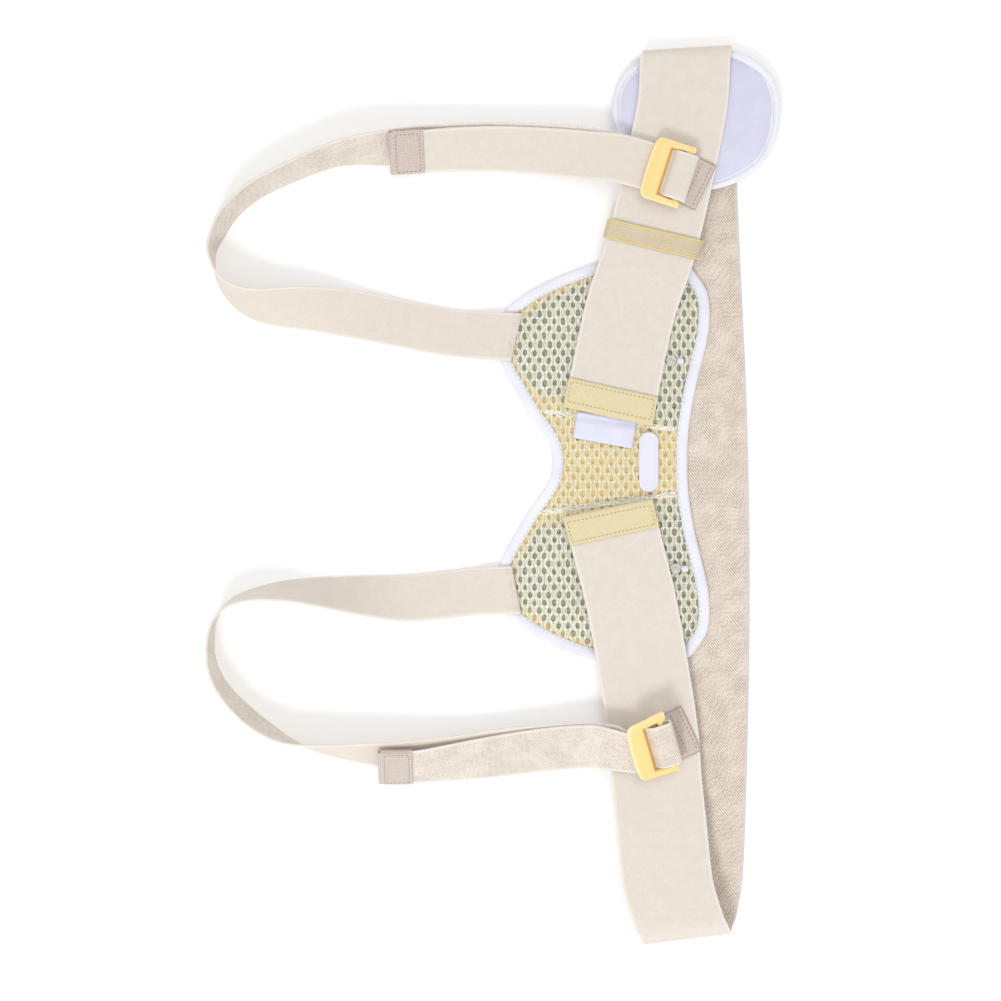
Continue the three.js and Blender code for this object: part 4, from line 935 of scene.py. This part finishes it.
def zones(points):
    """The zone and dusk of places on the panel."""
    beside = smoothstep((points[:, 0] - DUSK_START) / DUSK_REACH)
    beyond = np.abs(points[:, 1]) - seam_height(points[:, 0]) + 8 * beside
    patches = fields(24, 2.5, 77, *points.T)
    border = inside_distance(panel_inner, points)
    zone = smoothstep((beyond - 3 + patches) / 13) * smoothstep((border - 0.5 + patches + 7 * beside) / 6)
    return {"zone": zone, "dusk": beside * zone}


half = max(panel_inner[:, 1]) - CLEARANCE
grid = []
for y in np.linspace(-half, half, BACKING_ROWS):
    left, right = crossing(panel_inner, y)
    grid.append([(x, y) for x in np.linspace(left - 1.5, right + 1.5, BACKING_COLUMNS)])
flat = np.array(grid).reshape(-1, 2)
low, high = (np.column_stack([flat, z]).reshape(BACKING_ROWS, BACKING_COLUMNS, 3)
             for z in (panel_base(flat[:, 0]), panel_top(flat) - BACKING_DROP))
shape = slab(low, high)
add_mesh("panel_backing", shape, [backing], "spacer_mesh", "panel_mesh", **zones(shape[0][:, :2]))

PITCH_X, PITCH_Y = 6.4, 5.2
reach, rise = PITCH_X / 2, (PITCH_Y**2 / 2 - PITCH_X**2 / 8) / PITCH_Y
hexagon = np.array([(reach, -rise), (reach, rise), (0, PITCH_Y - rise),
                    (-reach, rise), (-reach, -rise), (0, rise - PITCH_Y)])
cell = np.empty((12, 2))
cell[0::2] = hexagon
cell[1::2] = (hexagon + np.roll(hexagon, -1, 0)) / 2
angles = np.arctan2(cell[:, 1], cell[:, 0])
centres = np.array([(i * PITCH_X + (j % 2) * PITCH_X / 2 + 1.0, j * PITCH_Y)
                    for j in range(-26, 27) for i in range(-13, 14)])
edge = inside_distance(panel_outline(0), (centres[:, None, :] + cell[None]).reshape(-1, 2))
centres = centres[(edge.reshape(-1, 12) > 2.2).all(1)]
HOLE_SIZE = np.array([1.15, 1.6])
verts, faces = [], []
for c in centres:
    size = HOLE_SIZE * noise_rng.uniform(0.74, 1.16)
    strength = noise_rng.uniform(0.55, 1.0)
    hole = c + noise_rng.uniform(-0.42, 0.42, 2) + np.stack([np.cos(angles), np.sin(angles)], 1) * size
    base = len(verts) * 12
    for share, depth in ((0, -1.3), (0, -0.6), (0.22, -0.12), (0.5, 0.0), (1, -0.32)):
        ring = lerp(hole, c + cell, share)
        verts.append(np.column_stack([ring, np.full(12, depth), np.full(12, strength)]))
    for k in range(4):
        for m in range(12):
            a, b = base + k * 12 + m, base + k * 12 + (m + 1) % 12
            faces.append((a, a + 12, b + 12, b))
verts = np.concatenate(verts)
# Neighbouring cells share their corners
_, first, inverse = np.unique(np.round(verts[:, :3], 3), axis=0, return_index=True, return_inverse=True)
verts, strength = verts[first, :3], verts[first, 3]
inverse = inverse.ravel()
faces = [inverse[list(f)] for f in faces]
# Painted shade in each hole: full on its two deepest rings, 0.45 on the next, none above; each hole's
# strength differs.
ring = strength * np.where(verts[:, 2] < -0.5, 1.0, np.where(np.abs(verts[:, 2] + 0.12) < 0.01, 0.45, 0.0))
values = zones(verts[:, :2])


def drift(points):
    """How far the knit has been pulled out of its even pattern."""
    x, y = points[:, 0], points[:, 1]
    return np.stack([fields(17, 0.8, 5, x, y), fields(14, 0.8, 6, x, y)], 1)


def knit_top(points):
    """The knit's height: it follows the panel and dips under the binding."""
    border = inside_distance(panel_inner, points)
    rough = fields(16, 0.25, 5, *points.T)
    height = panel_top(points) + rough - 1.7 * (1 - smoothstep((border + 0.6) / 1.6))
    return np.maximum(height, panel_base(points[:, 0]) + 1.4)


verts[:, :2] += drift(verts)
verts[:, 2] += knit_top(verts[:, :2])
add_mesh("panel_knit", (verts, faces), [knit], "spacer_mesh", ring=ring, **values)

# Fine white threads of the knit: they pass each hole on both sides and cross between the rows
t = np.radians(np.linspace(-84, 84, 8))
arcs = []
for c in centres:
    for way in (-1, 1):
        for reach in (0.56, 0.88):
            bulge = PITCH_X / 2 * noise_rng.uniform(reach - 0.08, reach + 0.06)
            arc = c + np.stack([way * bulge * np.cos(t) ** 0.8, PITCH_Y * 0.62 * np.sin(t)], 1)
            arcs.append(arc + noise_rng.uniform(-0.22, 0.22, arc.shape))
flat = np.concatenate(arcs)
flat = flat + drift(flat)
z = knit_top(flat) + noise_rng.uniform(-0.1, 0.1, len(flat))
lines = np.column_stack([flat, z]).reshape(len(arcs), len(t), 3)
lines[:, :, 2] += 0.06 * np.sin(t * 3)
shape = join([tube(line, noise_rng.uniform(0.2, 0.36), 4) for line in lines])
add_mesh("panel_net", shape, [net], "spacer_mesh", **zones(shape[0][:, :2]))

# Panel binding


def bound_rings(outer, width, low, high, profile, pucker, seed):
    """Rings of a rounded band along a closed outline. profile: (in, up) shares of the width and height."""
    at = np.arange(len(outer)) * np.linalg.norm(outer[1] - outer[0])
    width = width + 0.8 * fields(19, pucker, seed + 9, at)
    crown = (profile[:, 1] > 0.4) & (profile[:, 0] > 0.1)
    rings = []
    for place, way, breadth, wave in zip(outer, inwards(outer), width, fields(6, pucker, seed, at)):
        xy = place + way * (profile[:, :1] * breadth)
        rings.append(np.column_stack([xy, low(xy) + high * profile[:, 1] + np.where(crown, wave, 0)]))
    return rings


BAND = np.array(
    [(0.07, 0.12), (0.3, 0), (0.9, 0), (1, 0.15), (1.01, 0.55), (0.98, 0.72), (0.93, 0.8), (0.87, 0.74),
     (0.8, 0.86), (0.65, 0.97), (0.45, 1.0), (0.25, 0.97), (0.1, 0.82), (0.02, 0.58), (0.0, 0.35)]
)
outer = smooth_loop(loop_resample(panel_outline(0), 2.0), 2)
rings = bound_rings(outer, BINDING_WIDTH, lambda xy: panel_base(xy[:, 0]), BINDING_THICKNESS, BAND, 0.12, 21)
add_mesh("panel_binding_tape", sweep(rings, True), [satin], "white_binding", "panel_binding")
line = np.array([ring[7] for ring in rings])
stitches("panel_binding_stitches", [(line, UP, True)], pale_thread, "white_binding", 1.6, 1.6, 0.3)

# Seams of the pockets: white thread that wanders a little

seams = []
for sign in (1, -1):
    for shift in (-0.7, 0.1, 0.9, 1.6):
        x = np.arange(-38, 54, 0.8)
        y = sign * (seam_height(x) + shift) + fields(5, 0.9, 31, x, 9 * shift)
        pts = np.column_stack([x, y])
        pts = pts[inside_distance(panel_inner, pts) > 0.5]
        z = panel_top(pts) + 0.3 + 0.2 * np.sin(np.arange(len(pts)) * 1.9)
        seams.append(tube(np.column_stack([pts, z]), 0.33))
add_mesh("pocket_seams", join(seams), [white_thread], "spacer_mesh")

# Label

turn = math.radians(LABEL_PLACE[2])
a, b = np.meshgrid((np.arange(25) / 24 - 0.5) * LABEL_LENGTH, (np.arange(13) / 12 - 0.5) * LABEL_WIDTH)
a, b = a.ravel(), b.ravel()
x = LABEL_PLACE[0] * PANEL_WIDTH + a * math.cos(turn) - b * math.sin(turn)
y = LABEL_PLACE[1] * PANEL_LENGTH / 2 + a * math.sin(turn) + b * math.cos(turn)
place = np.column_stack([x, y])
lift = 0.75 + 0.45 * smoothstep((-b - 2) / 7) + 0.35 * np.sin(a / 7.5 + b / 9) ** 2
low = np.column_stack([place, panel_top(place) + lift]).reshape(13, 25, 3)
label = add_mesh("label_cloth", slab(low, low + UP * 0.3), [label_cloth], "white_binding", "label")

# Oblong plate, studs and pins


def stadium(inset):
    radius = PLATE_WIDTH / 2 - inset
    straight = PLATE_LENGTH / 2 - PLATE_WIDTH / 2
    angle = np.linspace(0, math.pi, 14)
    half = np.stack([np.cos(angle) * radius, np.sin(angle) * radius + straight], 1)
    return np.vstack([half, -half]) + np.array([plate_x, 0])


# How far in and how far up the edge of the plate runs
PLATE_LEVELS = [(0.4, 0), (0.05, 0.15), (0, 0.5), (0, 1.15), (0.15, 1.5), (0.5, 1.74), (0.9, 1.8),
                (1.5, 1.78), (1.85, 1.62), (2.1, 1.5), (3.4, 1.5)]
rings = [np.column_stack([stadium(i), np.full(28, plate_z + z)]) for i, z in PLATE_LEVELS]
add_mesh("plate_body", sweep(rings), [white_plastic], "white_plastic", "oblong_plate")

clear_plastic = Finish("clear_plastic", 0.16, specular=0.5, Transmission_Weight=0.35, IOR=1.45).done("E6E4D6")
core_plastic = plastic("core_plastic", "C4BFAC", 0.3, 0.4)


def lathe(middle, profile):
    """Profile of (radius, height) turned about the vertical through middle."""
    angle = -np.arange(28) * 2 * math.pi / 28
    spokes = np.stack([np.cos(angle), np.sin(angle), 0 * angle], 1)
    return sweep([middle + spokes * max(r, 0.02) + UP * z for r, z in profile[::-1]])


DOME = [(2.6, 0), (3.2, 0.1), (3.3, 0.5), (3.1, 0.95), (2.7, 1.3), (2.3, 1.45), (2.0, 1.55), (1.6, 1.95),
        (0.9, 2.3), (0, 2.4)]
CORE = [(1.7, 0), (2.0, 0.2), (2.0, 0.9), (1.7, 1.2), (0, 1.25)]
PIN_SIZES = (0.5, 0.9, 1.15, 0.95, 1.2, 1.0, 1.15, 0.9, 0.5)

for side in ("upper", "lower"):
    low, high = (np.array(corner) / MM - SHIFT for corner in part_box(f"clear_stud_{side}"))
    foot = np.array([*(low + high)[:2] / 2, low[2]])
    add_mesh(f"stud_{side}_dome", lathe(foot, DOME), [clear_plastic], "clear_plastic", f"clear_stud_{side}")
    add_mesh(f"stud_{side}_core", lathe(foot - UP * 1.4, CORE), [core_plastic], "clear_plastic")
    low, high = (np.array(corner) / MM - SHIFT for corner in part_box(f"stud_pin_{side}"))
    middle = (low + high) / 2
    x = np.linspace(low[0] + 0.3, high[0] + 1.2, 9)
    bend = np.column_stack([x, middle[1] + 0.4 * np.sin((x - x[0]) * 0.9), middle[2] + 0 * x])
    rings = tube_rings(bend, 0.95, 10)
    for ring, centre, size in zip(rings, bend, PIN_SIZES):
        ring[:] = centre + (ring - centre) * (size, size * 2.0, size)
    t = np.linspace(0.1, math.pi * 0.95, 16)
    arc = foot + np.column_stack([3.2 * np.cos(t), 3.2 * np.sin(t), 1.2 + 0 * t])
    add_mesh(f"pin_{side}", join([sweep(rings), tube(arc, 0.36)]), [white_plastic], "white_plastic",
             f"stud_pin_{side}")

# Leg straps and their tabs


RIDGE_AT, RIDGE_SPREAD, RIDGE_HEIGHT = 9.5, 1.4, 0.35


def over_binding(a, b, at):
    """The strap shows the inner edge of the binding that lies under it."""
    return b + RIDGE_HEIGHT * np.exp(-(((at - RIDGE_AT) / RIDGE_SPREAD) ** 2)) + 0 * a


# The cloth's two faces, and the seed of its edges
STRAPS = {"upper": ([strap_plain, strap_twill], 41), "lower": ([strap_twill, strap_plain], 47)}
for side, (cloths, seed) in STRAPS.items():
    p, w = strap_path(side)
    way, top = unit(p[1] - p[0]), p[0] + UP * (STRAP_THICKNESS / 2 + 0.1)
    zigzag = []
    for start in (0.2, 1.6, 3.0):
        a = np.arange(-14.6, 14.6, 0.85)
        back = start + 0.5 * (-1) ** np.arange(len(a)) + noise_rng.uniform(-0.3, 0.3, len(a)) + 3 * a / 16
        row = top + w[0] * a[:, None] + way * back[:, None] - way * 1.2
        row[:, 2] += noise_rng.uniform(-0.1, 0.12, len(a))
        zigzag.append(tube(row, 0.2, 5))
    add_mesh(f"strap_seam_{side}", join(zigzag), [cream_thread], "cream_webbing")
    strap = strip(f"leg_strap_{side}_cloth", p, w, STRAP_WIDTH, STRAP_THICKNESS, cloths, "cream_webbing",
                  f"leg_strap_{side}", seed=seed, step=1.3, relief=over_binding, slant=3.0, ahead=2.0)
    hem(f"strap_tab_{side}_tape", p[::-1], w[::-1], normals(p, w)[::-1], STRAP_THICKNESS,
        STRAP_WIDTH + CLEARANCE, STRAP_TAB_LENGTH, grey_tape, "grey_hook", f"strap_tab_{side}",
        grey_thread, 10)

# Hook tabs under the buckles

SHARES = np.linspace(-0.5, 0.5, 20)[:, None]
for side in ("upper", "lower"):
    origin, u, v, w, seat = buckle_axes(side)
    start, tab_yaw = BUCKLES[side][4:]
    tab_yaw = math.radians(tab_yaw)
    way = np.array([math.cos(tab_yaw), math.sin(tab_yaw), 0])
    aside = np.array([way[1], -way[0], 0])
    middle = origin + u * (start + BUCKLE_TAB_LENGTH / 2)
    middle[2] = seat + BUCKLE_TAB_THICKNESS / 2
    p = middle + way * SHARES * BUCKLE_TAB_LENGTH
    strip(f"buckle_tab_{side}_tape", p, np.tile(aside, (20, 1)), STRAP_WIDTH, BUCKLE_TAB_THICKNESS,
          [grey_tape], "grey_hook", f"buckle_tab_{side}", 10, step=1.2, wobble=0.12)
    rows = []
    for along_tab in (-1.2, 3.6, BUCKLE_TAB_LENGTH / 2 - 2.4):
        row = middle + way * along_tab + aside * np.linspace(-14.4, 14.4, 16)[:, None]
        rows.append((row + UP * BUCKLE_TAB_THICKNESS / 2, UP, False))
    stitches(f"buckle_tab_{side}_stitches", rows, grey_thread, "grey_hook", 1.5, 1.3, 0.25)
    # Painted shadow: a brown thread runs round the tab's edge.
    half = aside * STRAP_WIDTH / 2
    end = aside * SHARES * STRAP_WIDTH
    border = np.vstack([p[0] + end, p[1:-1] + half, p[-1] + end[::-1], p[-2:0:-1] - half])
    add_mesh(f"buckle_tab_{side}_edging", tube(border + UP * 0.35, 0.24, 6, True), [painted_edge_shadow], "grey_hook")

# Buckles: one rounded ring of plastic with the wide bar, two arms and the end bar

ARM_WIDTH = (BUCKLE_LENGTH - STRAP_WIDTH) / 2 - CLEARANCE
ARM_LEAN = 3.6
BAR_ROUND, SLOT_ROUND, END_ROUND = 4.4, 0.8, 1.2
BAR_BOW = 1.2
half_v = BUCKLE_LENGTH / 2
inner_v = half_v - ARM_WIDTH
end_in, end_out = END_BAR_U - END_BAR_RADIUS, END_BAR_U + END_BAR_RADIUS


def corner(u, v, radius, angles, at_end=False):
    """A rounded corner of the ring. Its sharp point would be at (u, v)."""
    s, c = np.sin(np.radians(angles)), np.cos(np.radians(angles))
    along, across = (radius * s - radius, radius * c) if at_end else (radius - radius * c, radius * s)
    return list(zip(u + along, v - radius + across))


# From the -v end of the wide bar, when seen from above: up the bar, along the +v arm, half the end bar
spots = np.linspace(-half_v + BAR_ROUND, half_v - BAR_ROUND, 11)
outer = [(-BAR_BOW * (1 - (v / half_v) ** 2), v) for v in spots]
inner = [(WIDE_BAR, v * (inner_v - SLOT_ROUND) / (half_v - BAR_ROUND)) for v in spots]
outer += corner(0, half_v, BAR_ROUND, np.linspace(10, 90, 7))
inner += corner(WIDE_BAR, inner_v, SLOT_ROUND, np.linspace(10, 90, 7))
spots = np.linspace(0.1, 0.9, 7)
outer += [(lerp(BAR_ROUND, ARM_REACH - END_ROUND, share), half_v) for share in spots]
inner += [(lerp(WIDE_BAR + SLOT_ROUND, end_in - SLOT_ROUND, share), inner_v) for share in spots]
outer += corner(ARM_REACH, half_v, END_ROUND, [0, 30, 60, 90], True)
outer += [(ARM_REACH, inner_v + 1.2), (ARM_REACH - 0.4, inner_v + 0.2), (end_out + 0.5, inner_v - 0.4)]
inner += corner(end_in, inner_v, SLOT_ROUND, np.arange(0, 91, 15), True)
spots = np.linspace(inner_v - 1.4, 0, 6)
outer += [(end_out, v) for v in spots]
inner += [(end_in, v) for v in spots]
# The second half mirrors the first: from the middle of the end bar back to the wide bar
outer_ring, inner_ring = (np.vstack([loop, np.array(loop[11:-1])[::-1] * (1, -1)]) for loop in (outer, inner))
# (across, up) shares round the section of the plastic, with its rounded edges
LOOP_SECTION = np.array(
    [(0, 0.35), (0, 0.62), (0.05, 0.83), (0.14, 0.95), (0.28, 1), (0.5, 1.02), (0.74, 1), (0.88, 0.95),
     (0.96, 0.82), (1, 0.6), (1.12, 0.3), (1.11, 0.12), (0.86, 0), (0.5, 0), (0.14, 0), (0.04, 0.12)]
)
# Finish of each face of the section: 0 the plain yellow, 1 a painted highlight along the outer edge, 2
# painted shade on the side towards the slot.
SECTION_MATERIAL = [1, 1, 1, 0, 0, 0, 0, 0, 0, 2, 2, 2, 2, 0, 0, 0]


def plastic_levels(u, v):
    """Lowest and highest place of the plastic at u, v."""
    if u > end_in - 0.5 and abs(v) < inner_v + 0.3:
        return END_BAR_W - END_BAR_RADIUS, END_BAR_W + END_BAR_RADIUS
    to_end = smoothstep((u - WIDE_BAR * 0.9) / (end_in - WIDE_BAR * 0.9))
    low = lerp(WIDE_BAR_LOW, END_BAR_W - END_BAR_RADIUS - 0.3, to_end)
    return low, lerp(WIDE_BAR_HIGH, WIDE_BAR_HIGH - 0.5, to_end)


share, up = LOOP_SECTION.T
for side in ("upper", "lower"):
    rings, index = [], []
    for outside, inside in zip(outer_ring, inner_ring):
        uv = outside + share[:, None] * (inside - outside)
        lows, highs = (lerp(a, b, share) for a, b in zip(plastic_levels(*outside), plastic_levels(*inside)))
        lean = ARM_LEAN if side == "lower" and outside[1] > 0 else 0
        uv[:, 1] += lean * np.clip(uv[:, 1] / half_v, 0, 1) ** 2 * np.clip((uv[:, 0] - 2) / ARM_REACH, 0, 1)
        rings.append(in_buckle(side, np.column_stack([uv, lerp(lows, highs, up)])))
        # Painted shade: the end bar, under the strap's curl, takes the amber finish all over.
        dark = outside[0] > end_in and abs(outside[1]) < inner_v - 0.5
        index += [2] * 16 if dark else SECTION_MATERIAL
    verts, faces = sweep(rings, True)
    add_mesh(f"buckle_{side}_body", (verts, [f[::-1] for f in faces]),
             [buckle_plastic, buckle_painted_highlight, buckle_painted_shade], "yellow_plastic", f"buckle_{side}", index)

# Compression pad

outer = smooth_loop(loop_resample(pad_outline(0), 1.8), 2)
PAD_BAND = np.array(
    [(0.07, 0.1), (0.35, 0), (0.85, 0), (1.1, 0.2), (1.14, 0.5), (1.1, 0.72), (1.0, 0.86), (0.86, 0.9),
     (0.77, 0.72), (0.7, 0.93), (0.5, 1.03), (0.28, 1.0), (0.1, 0.84), (0.02, 0.6), (0.0, 0.35)]
)
folded = np.linalg.norm(outer - outer.mean(0) - (36, 38), axis=1)
rings = bound_rings(outer, PAD_BINDING_WIDTH + 2.6 * np.exp(-((folded / 20) ** 2)),
                    lambda xy: PAD_MIDDLE - PAD_RIM / 2, PAD_RIM, PAD_BAND, 0.45, 61)
add_mesh("pad_binding_tape", sweep(rings, True), [satin], "white_binding", "pad_binding")
line = np.array([ring[8] for ring in rings]) + UP * 0.1
stitches("pad_binding_stitches", [(line, UP, True)], pale_thread, "white_binding", 1.8, 1.2, 0.12)

edge = smooth_loop(loop_resample(pad_outline(2.0), 2.5), 2)
middle = edge.mean(0)
PAD_LEVELS = [(0.02, 0.1), (0.3, 0.1), (0.6, 0.12), (0.8, 0.19), (0.9, 0.3), (0.97, 0.38), (1, 0.5),
              (0.97, 0.62), (0.9, 0.7), (0.8, 0.81), (0.6, 0.88), (0.3, 0.91), (0.02, 0.91)]
rings = [
    np.column_stack([middle + (edge - middle) * share, np.full(len(edge), PAD_FLOOR + up * PAD_THICKNESS)])
    for share, up in PAD_LEVELS
]
cushion = add_mesh("pad_cover", sweep(rings), [lavender], "lavender_cloth", "pad_cushion")

PAD_VOXEL = 2.4
PAD_SWELL = 1.2
PAD_PRESSURE = 4
PAD_FRAMES = 20


def fill(obj):
    """Let the cover swell and crease a little under an even pressure from inside."""
    bpy.context.view_layer.objects.active = obj
    remesh = obj.modifiers.new("remesh", "REMESH")
    remesh.mode = "VOXEL"
    remesh.voxel_size = PAD_VOXEL * MM
    bpy.ops.object.modifier_apply(modifier="remesh")
    cloth = obj.modifiers.new("cloth", "CLOTH").settings
    cloth.use_pressure = True
    cloth.uniform_pressure_force = PAD_PRESSURE
    cloth.effector_weights.gravity = 0
    before = np.array([v.co[:] for v in obj.data.vertices])
    for number in range(1, PAD_FRAMES + 1):
        bpy.context.scene.frame_set(number)
    swollen = obj.evaluated_get(bpy.context.evaluated_depsgraph_get()).to_mesh()
    moved = np.array([v.co[:] for v in swollen.vertices]) - before
    obj.modifiers.clear()
    far = np.linalg.norm(moved, axis=1, keepdims=True)
    moved *= np.minimum(1, PAD_SWELL * MM / np.maximum(far, 1e-9)) * (1, 1, 0.5)
    obj.data.vertices.foreach_set("co", (before + moved).ravel())
    smooth = obj.modifiers.new("smooth", "SUBSURF")
    smooth.levels = smooth.render_levels = 1
    bpy.ops.object.modifier_apply(modifier="smooth")
    obj.data.polygons.foreach_set("use_smooth", np.ones(len(obj.data.polygons), bool))
    bpy.context.scene.frame_set(1)


fill(cushion)

# Floor, light and camera

FLOOR_GLOW = 0.12
SKY_STRENGTH = 0.76
CAMERA_HEIGHT = 2.2
FRAME_WIDTH = 0.6673
SENSOR_WIDTH = 36

floor_mesh = bpy.data.meshes.new("floor")
floor_mesh.from_pydata([(-3, -3, 0), (3, -3, 0), (3, 3, 0), (-3, 3, 0)], [], [(0, 1, 2, 3)])
floor_white = Finish("floor_white", 0.9, Emission_Color=(1, 1, 1, 1), Emission_Strength=FLOOR_GLOW)
floor_mesh.materials.append(floor_white.done((0.96, 0.96, 0.96, 1)))
floor = link("floor", floor_mesh)
floor.location.z = -0.0002

world = bpy.data.worlds.new("soft_white")
bpy.context.scene.world = world
world.use_nodes = True
background = world.node_tree.nodes["Background"]
background.inputs["Color"].default_value = (1, 1, 1, 1)
background.inputs["Strength"].default_value = SKY_STRENGTH

for name, place, power, size in (("key", (-0.5, -1.5, 1.9), 20, 0.6), ("fill", (0.9, 0.9, 2.2), 8, 1.6)):
    light = bpy.data.lights.new(name, "AREA")
    light.energy = power
    light.size = size
    lamp = link(name, light)
    lamp.location = place
    lamp.rotation_euler = (-Vector(place)).to_track_quat("-Z", "Y").to_euler()

camera = link("camera", bpy.data.cameras.new("camera"))
camera.location = (0.0041, -0.0041, CAMERA_HEIGHT)
camera.data.sensor_width = SENSOR_WIDTH
camera.data.lens = SENSOR_WIDTH * CAMERA_HEIGHT / FRAME_WIDTH
bpy.context.scene.camera = camera
bpy.context.scene.view_settings.view_transform = "Standard"
